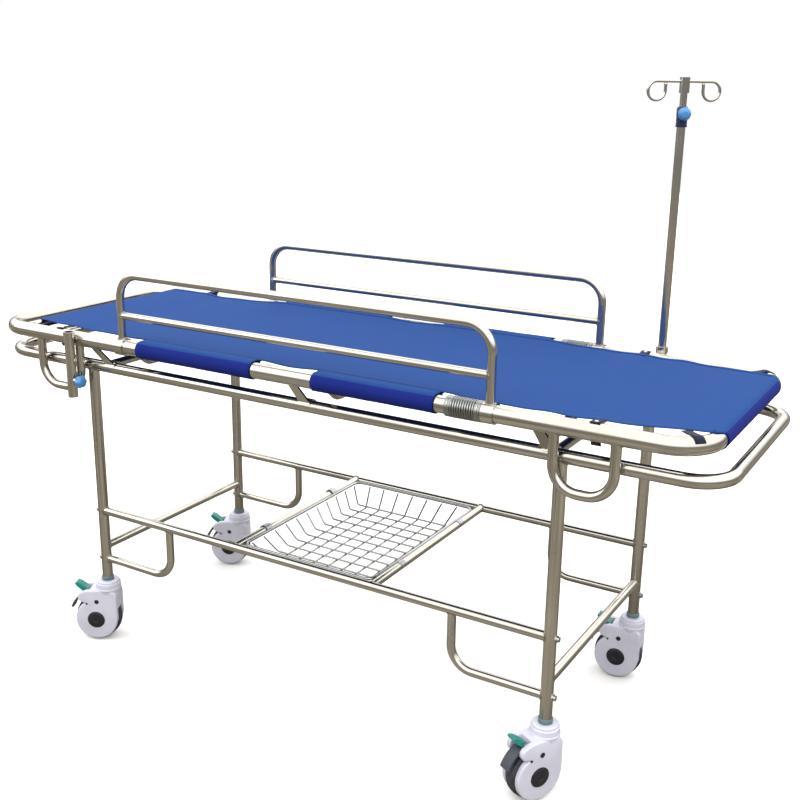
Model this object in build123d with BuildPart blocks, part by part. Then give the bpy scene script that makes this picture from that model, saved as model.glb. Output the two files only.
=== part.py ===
from build123d import *
import math
import os

# Stretcher trolley: a welded tube trolley on four lever-braked casters carries a lift-off
# canvas stretcher with two folding guard rails and a telescopic drip pole.
# Origin: on the floor, under the middle of the trolley. +X towards the foot end, +Z up.
# "near" is the -Y side and "far" the +Y side; "head" is the -X end and "foot" the +X end.

os.makedirs("parts", exist_ok=True)

# ---- driving dimensions, mm ------------------------------------------------------------
LEG_X, LEG_Y, LEG_R = 650, 284, 14          # four corner legs
LEG_BOTTOM = 178
TUBE_WALL = 1.5
TOP_Z, TOP_R = 782, 15                      # top rail loop of the trolley
TOP_SPLIT_X, TOP_END_X, TOP_BEND = 880, 976, 80
LOW_Z, LOW_R = 376, 11                      # lower side rails
END_BAR_Z = 272                             # cross bars low between each end's legs
BRACE_Z, BRACE_X, BRACE_BEND, BRACE_R = 236, 415, 55, 10
BASKET_BAR_X, BASKET_BAR_R = 203, 10        # the two cross tubes that carry the basket
TOP_BAR_X, TOP_BAR_Z = 626, 777             # cross tubes tying the top rails at the legs

DECK_Z, DECK_Y, DECK_R = 852, 308, 19       # stretcher frame loop
HEAD_END_X, FOOT_END_X, DECK_BEND = -961, 940, 85
DECK_SPLIT_X = 830
CROSS_BAR_XS = (-490, 85, 596)              # dropped cross tubes under the canvas
CROSS_BAR_Z, CROSS_BAR_R = 806, 9.5
TENSION_BAR_X, TENSION_BAR_Z, TENSION_BAR_R = -859, 861, 10
FOOT_Y, FOOT_R, FOOT_BOTTOM, FOOT_BEND = 312, 11, 718, 55
FOOT_XS = ((-805, -666), (643, 772))        # the two upright runs of each U foot

CANVAS_T = 2.5
CANVAS_Z = DECK_Z + DECK_R + 0.3            # underside of the canvas over the side tubes
CANVAS_HALF = 286                           # half width at the sleeves
CANVAS_HEAD_HALF, CANVAS_FOOT_HALF = 262, 245
SLEEVE_XS = ((-457, -105), (66, 377))       # canvas pockets around the side tubes
WRAP_HALF = 222                             # half width of the wraps round both end tubes
STRAP_PLACES = ((-735, -1), (-735, 1), (725, -1), (621, 1))

GUARD_XS, GUARD_TOP_Z, GUARD_MID_Z = (-517, 500), 1034, 931
GUARD_R, GUARD_MID_R, GUARD_BEND = 10, 9, 60
COLLAR_R = 22.5
COLLAR_HALF = 14                            # half length of a collar, centred on its post
LOCK_XS = (403, 485)                        # sprung locking sleeve beside the foot-end post

SOCKET_Y, SOCKET_R, SOCKET_BORE = 338.5, 12.5, 10.5
SOCKET_Z = (704, 875)
SOCKET_KNOB_Z = 748
NEAR_SOCKET_X, POLE_X = -673, 650
POLE_R, POLE_Z = 10, (722, 1412)
ROD_R, ROD_Z = 8, (900, 1502)
HOOK_TURN, HOOK_HALF, HOOK_CURL, HOOK_R = 42, 92, 21, 3.5
HOOK_Z = 1506

WHEEL_R, WHEEL_TRAIL, WHEEL_HALF, CORE_R, AXLE_R = 62.5, 30, 16, 46, 6
CHEEK_R, CHEEK_HALF = 57, 31
CASTER_TOP = 173.5
STEM_R = 9
# Each caster: name, leg corner signs, and how far its trail is turned from straight aft.
CASTERS = (
    ("near_head", -1, -1, 27),
    ("near_foot", 1, -1, 60),
    ("far_head", -1, 1, 25),
    ("far_foot", 1, 1, 5),
)

SIDES = (("near", -1), ("far", 1))
GAP = 0.3                                   # between curved faces of different bodies


# ---- shared makers ----------------------------------------------------------------------
def save(piece, name):
    """Label a finished piece and write it as its own STEP file."""
    piece.label = name
    export_step(piece, f"parts/{name}.step")


def tube(start, end, radius, wall=TUBE_WALL):
    """A straight round tube between two points; wall 0 makes a solid bar."""
    axis = Vector(*end) - Vector(*start)
    with BuildPart() as made:
        with BuildSketch(Plane(origin=start, z_dir=axis)):
            Circle(radius)
            if wall:
                Circle(radius - wall, mode=Mode.SUBTRACT)
        extrude(amount=axis.length)
    return made.part


def bent_tube(points, bend, radius, wall=TUBE_WALL):
    """A round tube swept along straight runs joined by bends of one radius."""
    with BuildPart() as made:
        with BuildLine() as route:
            FilletPolyline(*points, radius=bend)
        with BuildSketch(Plane(origin=route.line @ 0, z_dir=route.line % 0)):
            Circle(radius)
            if wall:
                Circle(radius - wall, mode=Mode.SUBTRACT)
        sweep()
    return made.part


def coped(piece, *cutters):
    """The piece with the outsides of the tubes that it is welded to taken off its ends."""
    with BuildPart() as made:
        add(piece)
        for cutter in cutters:
            add(cutter, mode=Mode.SUBTRACT)
    return made.part


def together(*pieces):
    """Separate solids that share one node."""
    return Compound(children=[solid for piece in pieces for solid in piece.solids()])


def leg_cutter(sx, sy):
    return tube((sx * LEG_X, sy * LEG_Y, 0), (sx * LEG_X, sy * LEG_Y, TOP_Z), LEG_R, 0)


def top_rail_cutter(sy):
    return tube((-TOP_END_X, sy * LEG_Y, TOP_Z), (TOP_END_X, sy * LEG_Y, TOP_Z), TOP_R, 0)


def low_rail_cutter(sy):
    return tube((-LEG_X, sy * LEG_Y, LOW_Z), (LEG_X, sy * LEG_Y, LOW_Z), LOW_R, 0)


def deck_tube_cutter(sy):
    return tube((HEAD_END_X, sy * DECK_Y, DECK_Z), (FOOT_END_X, sy * DECK_Y, DECK_Z), DECK_R, 0)


# ---- trolley: legs ----------------------------------------------------------------------
BOLT_R = 4
BOLT_HOLE_R = 4.2
BOLT_ZS = (LOW_Z, BRACE_Z)

for caster, sx, sy, _ in CASTERS:
    with BuildPart() as leg:
        add(tube((sx * LEG_X, sy * LEG_Y, LEG_BOTTOM), (sx * LEG_X, sy * LEG_Y, TOP_Z), LEG_R))
        add(top_rail_cutter(sy), mode=Mode.SUBTRACT)
        for z in BOLT_ZS:
            add(
                tube((sx * (LEG_X - 20), sy * LEG_Y, z), (sx * (LEG_X + 20), sy * LEG_Y, z), BOLT_HOLE_R, 0),
                mode=Mode.SUBTRACT,
            )
    save(leg.part, f"leg_{caster}")

# ---- trolley: top rails and end bows ------------------------------------------------------
save(
    together(*[
        tube((-TOP_SPLIT_X, sy * LEG_Y, TOP_Z), (TOP_SPLIT_X, sy * LEG_Y, TOP_Z), TOP_R)
        for _, sy in SIDES
    ]),
    "top_rails",
)


def end_bow(split_x, end_x, half_width, z, bend, radius):
    """A U-shaped tube closing one end of a rectangular loop."""
    return bent_tube(
        [(split_x, -half_width, z), (end_x, -half_width, z), (end_x, half_width, z), (split_x, half_width, z)],
        bend,
        radius,
    )


save(
    together(*[end_bow(sx * TOP_SPLIT_X, sx * TOP_END_X, LEG_Y, TOP_Z, TOP_BEND, TOP_R) for sx in (-1, 1)]),
    "push_bows",
)

# ---- trolley: lower frame -----------------------------------------------------------------
save(
    together(*[
        coped(
            tube((-LEG_X, sy * LEG_Y, LOW_Z), (LEG_X, sy * LEG_Y, LOW_Z), LOW_R),
            leg_cutter(-1, sy),
            leg_cutter(1, sy),
        )
        for _, sy in SIDES
    ]),
    "lower_rails",
)
save(
    together(*[
        coped(
            tube((sx * LEG_X, -LEG_Y, END_BAR_Z), (sx * LEG_X, LEG_Y, END_BAR_Z), LOW_R),
            leg_cutter(sx, -1),
            leg_cutter(sx, 1),
        )
        for sx in (-1, 1)
    ]),
    "end_bars",
)
save(
    together(*[
        coped(
            tube((x, -LEG_Y, LOW_Z), (x, LEG_Y, LOW_Z), BASKET_BAR_R),
            low_rail_cutter(-1),
            low_rail_cutter(1),
        )
        for x in (-BASKET_BAR_X, BASKET_BAR_X)
    ]),
    "basket_bars",
)
save(
    together(*[
        coped(
            tube((x, -LEG_Y, TOP_BAR_Z), (x, LEG_Y, TOP_BAR_Z), LOW_R),
            top_rail_cutter(-1),
            top_rail_cutter(1),
        )
        for x in (-TOP_BAR_X, TOP_BAR_X)
    ]),
    "top_bars",
)
save(
    together(*[
        coped(
            bent_tube(
                [
                    (sx * LEG_X, sy * LEG_Y, BRACE_Z),
                    (sx * BRACE_X, sy * LEG_Y, BRACE_Z),
                    (sx * BRACE_X, sy * LEG_Y, LOW_Z),
                ],
                BRACE_BEND,
                BRACE_R,
            ),
            leg_cutter(sx, sy),
            low_rail_cutter(sy),
        )
        for sx in (-1, 1)
        for _, sy in SIDES
    ]),
    "brace_bows",
)


def frame_bolt(sx, sy, z):
    """A domed bolt through a leg into the end of a rail, with its saddle washer."""
    face = LEG_X + LEG_R
    with BuildPart() as bolt:
        add(tube((sx * (face - 40), sy * LEG_Y, z), (sx * (face + 1), sy * LEG_Y, z), BOLT_R, 0))
        with BuildPart(mode=Mode.PRIVATE) as washer:
            add(tube((sx * (face - 6), sy * LEG_Y, z), (sx * (face + 2), sy * LEG_Y, z), 8, 0))
            add(leg_cutter(sx, sy), mode=Mode.SUBTRACT)
        add(washer.part)
        with BuildSketch(Plane.XZ.offset(-sy * LEG_Y)):
            with Locations((sx * (face + 2), z)):
                with Locations((sx * 2.5, 3)):
                    Rectangle(5, 6)
        revolve(axis=Axis((0, sy * LEG_Y, z), (1, 0, 0)))
    return bolt.part


save(
    together(*[frame_bolt(sx, sy, z) for sx in (-1, 1) for _, sy in SIDES for z in BOLT_ZS]),
    "frame_bolts",
)


def caster_stem(sx, sy):
    """The steel stem pressed into a leg: plug, flange and the journal the caster turns on."""
    with BuildPart() as stem:
        with BuildSketch(Plane.XZ.offset(-sy * LEG_Y)):
            with BuildLine():
                Polyline(
                    (sx * LEG_X, 141), (sx * LEG_X + STEM_R, 141), (sx * LEG_X + STEM_R, 174),
                    (sx * LEG_X + LEG_R + 1, 174), (sx * LEG_X + LEG_R + 1, 178),
                    (sx * LEG_X + LEG_R - 1.6, 178), (sx * LEG_X + LEG_R - 1.6, 222),
                    (sx * LEG_X, 222), close=True,
                )
            make_face()
        revolve(axis=Axis((sx * LEG_X, sy * LEG_Y, 0), (0, 0, 1)))
    return stem.part


save(together(*[caster_stem(sx, sy) for _, sx, sy, _ in CASTERS]), "caster_stems")

# ---- basket: a lift-out wire tray hung between the two basket bars ---------------------------
RIM_X, RIM_Y, RIM_Z, RIM_R = 188, 262, 378, 4
FLOOR_X, FLOOR_Y, FLOOR_Z = 152, 210, 334
WIRE, PITCH = 4, 42


def grille(plane, half_top, half_bottom, height):
    """A flat wire grille, trapezoidal, lying in a plane with its lower edge on the plane's X axis."""
    def half_at(y):
        return half_bottom + (half_top - half_bottom) * y / height

    across = int(half_bottom // PITCH)
    with BuildPart() as panel:
        with BuildSketch(plane):
            for i in range(-across, across + 1):
                with Locations((i * PITCH, height / 2)):
                    Rectangle(WIRE, height)
            for row in (0, height / 2, height):
                y = min(max(row, WIRE / 2), height - WIRE / 2)
                with Locations((0, y)):
                    Rectangle(2 * half_at(y), WIRE)
        extrude(amount=WIRE)
    return panel.part


def wall_plane(sx, sy):
    """Plane of one sloping wall: origin at mid floor edge, X along the edge, Y up the slope."""
    if sx:
        foot_point, top_point, along = (sx * (FLOOR_X + 5), 0), (sx * (RIM_X - 8), 0), Vector(0, sx, 0)
    else:
        foot_point, top_point, along = (0, sy * (FLOOR_Y + 5)), (0, sy * (RIM_Y - 8)), Vector(-sy, 0, 0)
    low = Vector(*foot_point, FLOOR_Z)
    up = Vector(*top_point, RIM_Z) - low
    return Plane(origin=low, x_dir=along, z_dir=along.cross(up)), up.length


panels = []
for sx, sy in ((1, 0), (-1, 0), (0, 1), (0, -1)):
    plane, slope = wall_plane(sx, sy)
    if sx:
        panels.append(grille(plane, RIM_Y - 14, FLOOR_Y - 6, slope - 1))
    else:
        panels.append(grille(plane, RIM_X - 14, FLOOR_X - 6, slope - 1))
with BuildPart() as floor_grille:
    with BuildSketch(Plane.XY.offset(FLOOR_Z - WIRE)):
        with GridLocations(PITCH, 1, 2 * int(FLOOR_X // PITCH) + 1, 1):
            Rectangle(WIRE, 2 * FLOOR_Y)
        with GridLocations(1, PITCH, 1, 2 * int(FLOOR_Y // PITCH) + 1):
            Rectangle(2 * FLOOR_X, WIRE)
    extrude(amount=WIRE)
save(together(floor_grille.part, *panels), "basket_grille")

HOOK_YS = (-150, 150)


def basket_hook(sx, y):
    """A flat steel hook that laps over a basket bar from the rim."""
    reach = BASKET_BAR_R + GAP
    with BuildPart() as hook:
        with BuildSketch(Plane.XZ.offset(-y - 10)):
            with Locations((sx * BASKET_BAR_X, LOW_Z)):
                Circle(reach + 2)
                Circle(reach, mode=Mode.SUBTRACT)
            with Locations((sx * BASKET_BAR_X, LOW_Z - 20)):
                Rectangle(60, 40, mode=Mode.SUBTRACT)
        extrude(amount=20)
    return hook.part


save(
    together(
        *[tube((-RIM_X, sy * RIM_Y, RIM_Z), (RIM_X, sy * RIM_Y, RIM_Z), RIM_R, 0) for _, sy in SIDES],
        *[
            coped(
                tube((sx * RIM_X, -RIM_Y, RIM_Z), (sx * RIM_X, RIM_Y, RIM_Z), RIM_R - 0.2, 0),
                tube((-RIM_X, -RIM_Y, RIM_Z), (RIM_X, -RIM_Y, RIM_Z), RIM_R, 0),
                tube((-RIM_X, RIM_Y, RIM_Z), (RIM_X, RIM_Y, RIM_Z), RIM_R, 0),
            )
            for sx in (-1, 1)
        ],
        *[
            coped(basket_hook(sx, y), tube((sx * RIM_X, y - 20, RIM_Z), (sx * RIM_X, y + 20, RIM_Z), RIM_R, 0))
            for sx in (-1, 1)
            for y in HOOK_YS
        ],
    ),
    "basket_rim",
)

# ---- stretcher frame -----------------------------------------------------------------------
for side, sy in SIDES:
    save(
        coped(
            tube((-DECK_SPLIT_X, sy * DECK_Y, DECK_Z), (DECK_SPLIT_X, sy * DECK_Y, DECK_Z), DECK_R),
        ),
        f"side_tube_{side}",
    )
save(end_bow(-DECK_SPLIT_X, HEAD_END_X, DECK_Y, DECK_Z, DECK_BEND, DECK_R), "head_bow")
save(end_bow(DECK_SPLIT_X, FOOT_END_X, DECK_Y, DECK_Z, DECK_BEND, DECK_R), "foot_bow")



def cross_bar(x, radius, wall):
    """A cross tube dropped between the side tubes so that the canvas can sag over it."""
    drop_y = 250
    return bent_tube(
        [(x, -DECK_Y, DECK_Z), (x, -drop_y, CROSS_BAR_Z), (x, drop_y, CROSS_BAR_Z), (x, DECK_Y, DECK_Z)],
        30,
        radius,
        wall,
    )


cross_bars = [
    coped(cross_bar(x, CROSS_BAR_R, TUBE_WALL), deck_tube_cutter(-1), deck_tube_cutter(1))
    for x in CROSS_BAR_XS
]
tension_bar = coped(
    tube(
        (TENSION_BAR_X, -DECK_Y, TENSION_BAR_Z),
        (TENSION_BAR_X, DECK_Y, TENSION_BAR_Z),
        TENSION_BAR_R,
    ),
    deck_tube_cutter(-1),
    deck_tube_cutter(1),
)
save(together(*cross_bars, tension_bar), "deck_cross_bars")
save(
    together(*[
        coped(
            bent_tube(
                [
                    (x0, sy * FOOT_Y, DECK_Z), (x0, sy * FOOT_Y, FOOT_BOTTOM),
                    (x1, sy * FOOT_Y, FOOT_BOTTOM), (x1, sy * FOOT_Y, DECK_Z),
                ],
                FOOT_BEND,
                FOOT_R,
            ),
            deck_tube_cutter(sy),
        )
        for x0, x1 in FOOT_XS
        for _, sy in SIDES
    ]),
    "ground_feet",
)

# Each saddle stands on a top rail and slants up to the side tube that it is welded to.
SADDLE_XS = ((-655, -579), (-22, 27), (590, 628))     # x where it meets the tube, x on the rail
SADDLE_CLEAR = TOP_R + GAP


def saddle(x_up, x_down, sy):
    plate_y, half = sy * 294, 3
    with BuildPart() as made:
        with BuildSketch(Plane.XZ.offset(-plate_y)):
            with BuildLine():
                Polyline(
                    (x_up - 11, DECK_Z - 5), (x_up + 11, DECK_Z - 5),
                    (x_down + 15, TOP_Z + 12), (x_down - 15, TOP_Z + 12), close=True,
                )
            make_face()
        extrude(amount=half, both=True)
        add(tube((x_down - 16, sy * LEG_Y, TOP_Z), (x_down + 16, sy * LEG_Y, TOP_Z), SADDLE_CLEAR + 3, 0))
        with BuildSketch(Plane.XY.offset(TOP_Z + 9)):
            with Locations((x_down, sy * LEG_Y)):
                Rectangle(80, 80)
        extrude(amount=-60, mode=Mode.SUBTRACT)
        add(tube((x_down - 50, sy * LEG_Y, TOP_Z), (x_down + 50, sy * LEG_Y, TOP_Z), SADDLE_CLEAR, 0),
            mode=Mode.SUBTRACT)
        add(deck_tube_cutter(sy), mode=Mode.SUBTRACT)
        add(cross_bar(CROSS_BAR_XS[-1], CROSS_BAR_R, 0), mode=Mode.SUBTRACT)
    return made.part


save(together(*[saddle(x0, x1, sy) for x0, x1 in SADDLE_XS for _, sy in SIDES]), "saddle_brackets")

# ---- canvas deck -----------------------------------------------------------------------------
CANVAS_EDGE = (                             # half width of the panel at points along it
    (TENSION_BAR_X, CANVAS_HEAD_HALF), (-600, 268), (SLEEVE_XS[0][0], CANVAS_HALF),
    (SLEEVE_XS[1][1], CANVAS_HALF), (720, 279), (FOOT_END_X, CANVAS_FOOT_HALF),
)

with BuildPart() as canvas_panel:
    with BuildSketch(Plane.XY.offset(CANVAS_Z)):
        with BuildLine():
            Polyline(
                *[(x, -half) for x, half in CANVAS_EDGE],
                *[(x, half) for x, half in reversed(CANVAS_EDGE)], close=True,
            )
        make_face()
    extrude(amount=CANVAS_T)


def canvas_wrap(x, z, radius, sx, half):
    """The outer half turn of canvas round an end tube, closed under it."""
    with BuildPart() as wrap:
        with BuildSketch(Plane.XZ.offset(-half)):
            with Locations((x, z)):
                Circle(radius + CANVAS_T)
                Circle(radius, mode=Mode.SUBTRACT)
            with Locations((x - sx * 50, z + 50)):
                Rectangle(100, 100, mode=Mode.SUBTRACT)
        extrude(amount=2 * half)
    return wrap.part


save(
    together(
        canvas_panel.part,
        canvas_wrap(FOOT_END_X, DECK_Z, DECK_R + GAP, 1, WRAP_HALF),
        canvas_wrap(TENSION_BAR_X, TENSION_BAR_Z, TENSION_BAR_R + GAP, -1, WRAP_HALF),
    ),
    "deck_canvas",
)


def canvas_sleeve(x0, x1, sy):
    """A pocket of the canvas round a side tube, with the strip that joins it to the panel."""
    with BuildPart() as sleeve:
        with BuildSketch(Plane.YZ.offset(x0)):
            with Locations((sy * DECK_Y, DECK_Z)):
                Circle(DECK_R + GAP + CANVAS_T)
            with Locations((sy * (DECK_Y + CANVAS_HALF) / 2, CANVAS_Z + CANVAS_T / 2)):
                Rectangle(DECK_Y - CANVAS_HALF, CANVAS_T)
            with Locations((sy * DECK_Y, DECK_Z)):
                Circle(DECK_R + GAP, mode=Mode.SUBTRACT)
        extrude(amount=x1 - x0)
        add(cross_bar(CROSS_BAR_XS[1], CROSS_BAR_R + 1.5, 0), mode=Mode.SUBTRACT)
    return sleeve.part


save(together(*[canvas_sleeve(x0, x1, sy) for x0, x1 in SLEEVE_XS for _, sy in SIDES]), "canvas_sleeves")

STRAP_W, STRAP_T = 21, 1.6
STRAP_PAST_TOP = 4                          # how far a strap goes past the top of its tube


def deck_strap(x, sy):
    """A webbing tab from under the canvas edge, over the tube's top and back under its inner half."""
    with BuildPart() as strap:
        with BuildSketch(Plane.YZ.offset(x - STRAP_W / 2)):
            with Locations((sy * DECK_Y, DECK_Z)):
                Circle(DECK_R + 0.05 + STRAP_T)
            with Locations((sy * (DECK_Y - 40), DECK_Z + DECK_R - 0.7)):
                Rectangle(64, STRAP_T)
            with Locations((sy * DECK_Y, DECK_Z)):
                Circle(DECK_R + 0.05, mode=Mode.SUBTRACT)
            with Locations((sy * (DECK_Y + STRAP_PAST_TOP + 30), DECK_Z)):
                Rectangle(60, 80, mode=Mode.SUBTRACT)
        extrude(amount=STRAP_W)
    return strap.part


save(together(*[deck_strap(x, sy) for x, sy in STRAP_PLACES]), "deck_straps")

# ---- guard rails -------------------------------------------------------------------------------
for side, sy in SIDES:
    y = sy * DECK_Y
    collar_cutter = tube((GUARD_XS[0] - 60, y, DECK_Z), (GUARD_XS[1] + 60, y, DECK_Z), COLLAR_R, 0)
    bow = coped(
        bent_tube(
            [
                (GUARD_XS[0], y, DECK_Z), (GUARD_XS[0], y, GUARD_TOP_Z),
                (GUARD_XS[1], y, GUARD_TOP_Z), (GUARD_XS[1], y, DECK_Z),
            ],
            GUARD_BEND,
            GUARD_R,
        ),
        collar_cutter,
    )
    mid = coped(
        tube((GUARD_XS[0], y, GUARD_MID_Z), (GUARD_XS[1], y, GUARD_MID_Z), GUARD_MID_R),
        tube((GUARD_XS[0], y, DECK_Z), (GUARD_XS[0], y, GUARD_TOP_Z), GUARD_R, 0),
        tube((GUARD_XS[1], y, DECK_Z), (GUARD_XS[1], y, GUARD_TOP_Z), GUARD_R, 0),
    )
    save(together(bow, mid), f"guard_rail_{side}")
    save(
        together(*[
            tube((x - COLLAR_HALF, y, DECK_Z), (x + COLLAR_HALF, y, DECK_Z), COLLAR_R, COLLAR_R - DECK_R - GAP)
            for x in GUARD_XS
        ]),
        f"guard_collars_{side}",
    )
    with BuildPart() as lock:
        add(tube((LOCK_XS[0], y, DECK_Z), (LOCK_XS[1], y, DECK_Z), COLLAR_R + 0.5, COLLAR_R + 0.5 - DECK_R - GAP))
        chamfer(lock.edges().filter_by(GeomType.CIRCLE).group_by(SortBy.RADIUS)[-1], length=1.5)
    save(lock.part, f"guard_lock_{side}")


# ---- drip pole and its sockets -------------------------------------------------------------------
def pole_socket(x, sy):
    """A socket tube welded to the outside of a side tube, open at both ends, with its clamp boss."""
    y = sy * SOCKET_Y
    with BuildPart() as socket:
        add(tube((x, y, SOCKET_Z[0]), (x, y, SOCKET_Z[1]), SOCKET_R, 0))
        add(tube((x, y, SOCKET_Z[1] - 8), (x, y, SOCKET_Z[1]), SOCKET_R + 2.5, 0))
        add(tube((x, y, SOCKET_KNOB_Z), (x + SOCKET_R + 8, y, SOCKET_KNOB_Z), 8, 0))
        add(tube((x, y, SOCKET_Z[0] - 1), (x, y, SOCKET_Z[1] + 1), SOCKET_BORE, 0), mode=Mode.SUBTRACT)
        add(tube((x, y, SOCKET_KNOB_Z), (x + 30, y, SOCKET_KNOB_Z), 4.3, 0), mode=Mode.SUBTRACT)
        add(deck_tube_cutter(sy), mode=Mode.SUBTRACT)
    return socket.part


def lobed_knob(plane, radius, length, screw_r, screw_length):
    """A hand knob with six shallow flutes, its screw running back from the plane's origin."""
    with BuildPart() as knob:
        with BuildSketch(plane):
            Circle(radius)
            with PolarLocations(radius + 3, 6):
                Circle(5, mode=Mode.SUBTRACT)
        extrude(amount=length)
        fillet(knob.faces().sort_by(Axis(plane.origin, plane.z_dir))[-1].edges(), radius=2)
        with BuildSketch(plane):
            Circle(screw_r)
        extrude(amount=-screw_length)
    return knob.part


SOCKET_KNOB_R, SOCKET_KNOB_T = 17, 20
save(together(pole_socket(NEAR_SOCKET_X, -1), pole_socket(POLE_X, 1)), "pole_sockets")
for side, x, sy in (("near", NEAR_SOCKET_X, -1), ("far", POLE_X, 1)):
    knob_face = Plane(origin=(x + SOCKET_R + 9.5, sy * SOCKET_Y, SOCKET_KNOB_Z), z_dir=(1, 0, 0))
    save(lobed_knob(knob_face, SOCKET_KNOB_R, SOCKET_KNOB_T, 4, 10.5), f"socket_knob_{side}")

CLAMP_Z, CLAMP_R = (1404, 1450), 13
KNOB_TURN = math.radians(-62)
with BuildPart() as pole:
    add(tube((POLE_X, SOCKET_Y, POLE_Z[0]), (POLE_X, SOCKET_Y, POLE_Z[1]), POLE_R))
    add(tube((POLE_X, SOCKET_Y, SOCKET_Z[1] + GAP), (POLE_X, SOCKET_Y, SOCKET_Z[1] + 7), SOCKET_R + 2, 3))
    add(
        tube((POLE_X, SOCKET_Y, SOCKET_Z[1] + GAP), (POLE_X, SOCKET_Y, SOCKET_Z[1] + 7),
             SOCKET_R, SOCKET_R - POLE_R + 0.5),
    )
save(pole.part, "pole_tube")

knob_dir = Vector(math.cos(KNOB_TURN), math.sin(KNOB_TURN), 0)
clamp_axis = Vector(POLE_X, SOCKET_Y, 1434)
with BuildPart() as clamp:
    add(tube((POLE_X, SOCKET_Y, CLAMP_Z[0]), (POLE_X, SOCKET_Y, CLAMP_Z[1]), CLAMP_R, 0))
    add(tube(tuple(clamp_axis), tuple(clamp_axis + knob_dir * 17), 8, 0))
    chamfer(clamp.faces().filter_by(Axis.Z).edges().group_by(SortBy.RADIUS)[-1], length=1)
    add(tube((POLE_X, SOCKET_Y, CLAMP_Z[0] - 1), (POLE_X, SOCKET_Y, POLE_Z[1] + 0.1), POLE_R, 0),
        mode=Mode.SUBTRACT)
    add(tube((POLE_X, SOCKET_Y, CLAMP_Z[0] - 1), (POLE_X, SOCKET_Y, CLAMP_Z[1] + 1), ROD_R + GAP, 0),
        mode=Mode.SUBTRACT)
    add(tube(tuple(clamp_axis), tuple(clamp_axis + knob_dir * 25), 3.8, 0), mode=Mode.SUBTRACT)
save(clamp.part, "pole_clamp")
save(
    lobed_knob(Plane(origin=clamp_axis + knob_dir * 18, z_dir=knob_dir), 15, 18, 3.5, 9),
    "pole_clamp_knob",
)

save(tube((POLE_X, SOCKET_Y, ROD_Z[0]), (POLE_X, SOCKET_Y, ROD_Z[1]), ROD_R), "pole_rod")

hook_plane = Plane(
    origin=(POLE_X, SOCKET_Y, HOOK_Z),
    x_dir=(math.cos(math.radians(HOOK_TURN)), math.sin(math.radians(HOOK_TURN)), 0),
    z_dir=(math.sin(math.radians(HOOK_TURN)), -math.cos(math.radians(HOOK_TURN)), 0),
)
TAIL_RISE = 14
with BuildPart() as hook_bar:
    curl_x = HOOK_HALF - HOOK_R - HOOK_CURL
    with BuildLine(hook_plane) as route:
        start = Line((-curl_x + HOOK_CURL, -HOOK_CURL + TAIL_RISE), (-curl_x + HOOK_CURL, -HOOK_CURL))
        left = CenterArc((-curl_x, -HOOK_CURL), HOOK_CURL, 0, -270)
        span = Line((-curl_x, 0), (curl_x, 0))
        right = CenterArc((curl_x, -HOOK_CURL), HOOK_CURL, 90, -270)
        end = Line((curl_x - HOOK_CURL, -HOOK_CURL), (curl_x - HOOK_CURL, -HOOK_CURL + TAIL_RISE))
    with BuildSketch(Plane(origin=start @ 0, z_dir=start % 0)):
        Circle(HOOK_R)
    sweep(path=route.wires()[0])
    add(tube((POLE_X, SOCKET_Y, ROD_Z[1]), (POLE_X, SOCKET_Y, HOOK_Z + 9), 11.5, 0))
    add(tube((POLE_X, SOCKET_Y, ROD_Z[1] - 22), (POLE_X, SOCKET_Y, ROD_Z[1]), 11.5, 11.5 - ROD_R - 0.01))
save(hook_bar.part, "pole_hook_bar")

# ---- casters ---------------------------------------------------------------------------------------
CAP_R, CAP_T = 22, 3
PEDAL_PIVOT = (58, 139)                     # trail and height of the pedal's pivot
PEDAL_HALF = 15
PAD_R, PAD_T = 73, 7                        # inner radius about the axle, and thickness, of the brake pad
PAD_SPAN = (20, 42)                         # where the pad starts round the wheel, and how far it goes


def caster_planes(sx, sy, turn):
    """The floor plane with X along the trail, and the upright plane through the trail."""
    angle = math.radians(180 + turn)
    trail = Vector(math.cos(angle), math.sin(angle), 0)
    at = (sx * LEG_X, sy * LEG_Y, 0)
    return (
        Plane(origin=at, x_dir=trail, z_dir=(0, 0, 1)),
        Plane(origin=at, x_dir=trail, z_dir=trail.cross(Vector(0, 0, 1))),
    )


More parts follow.
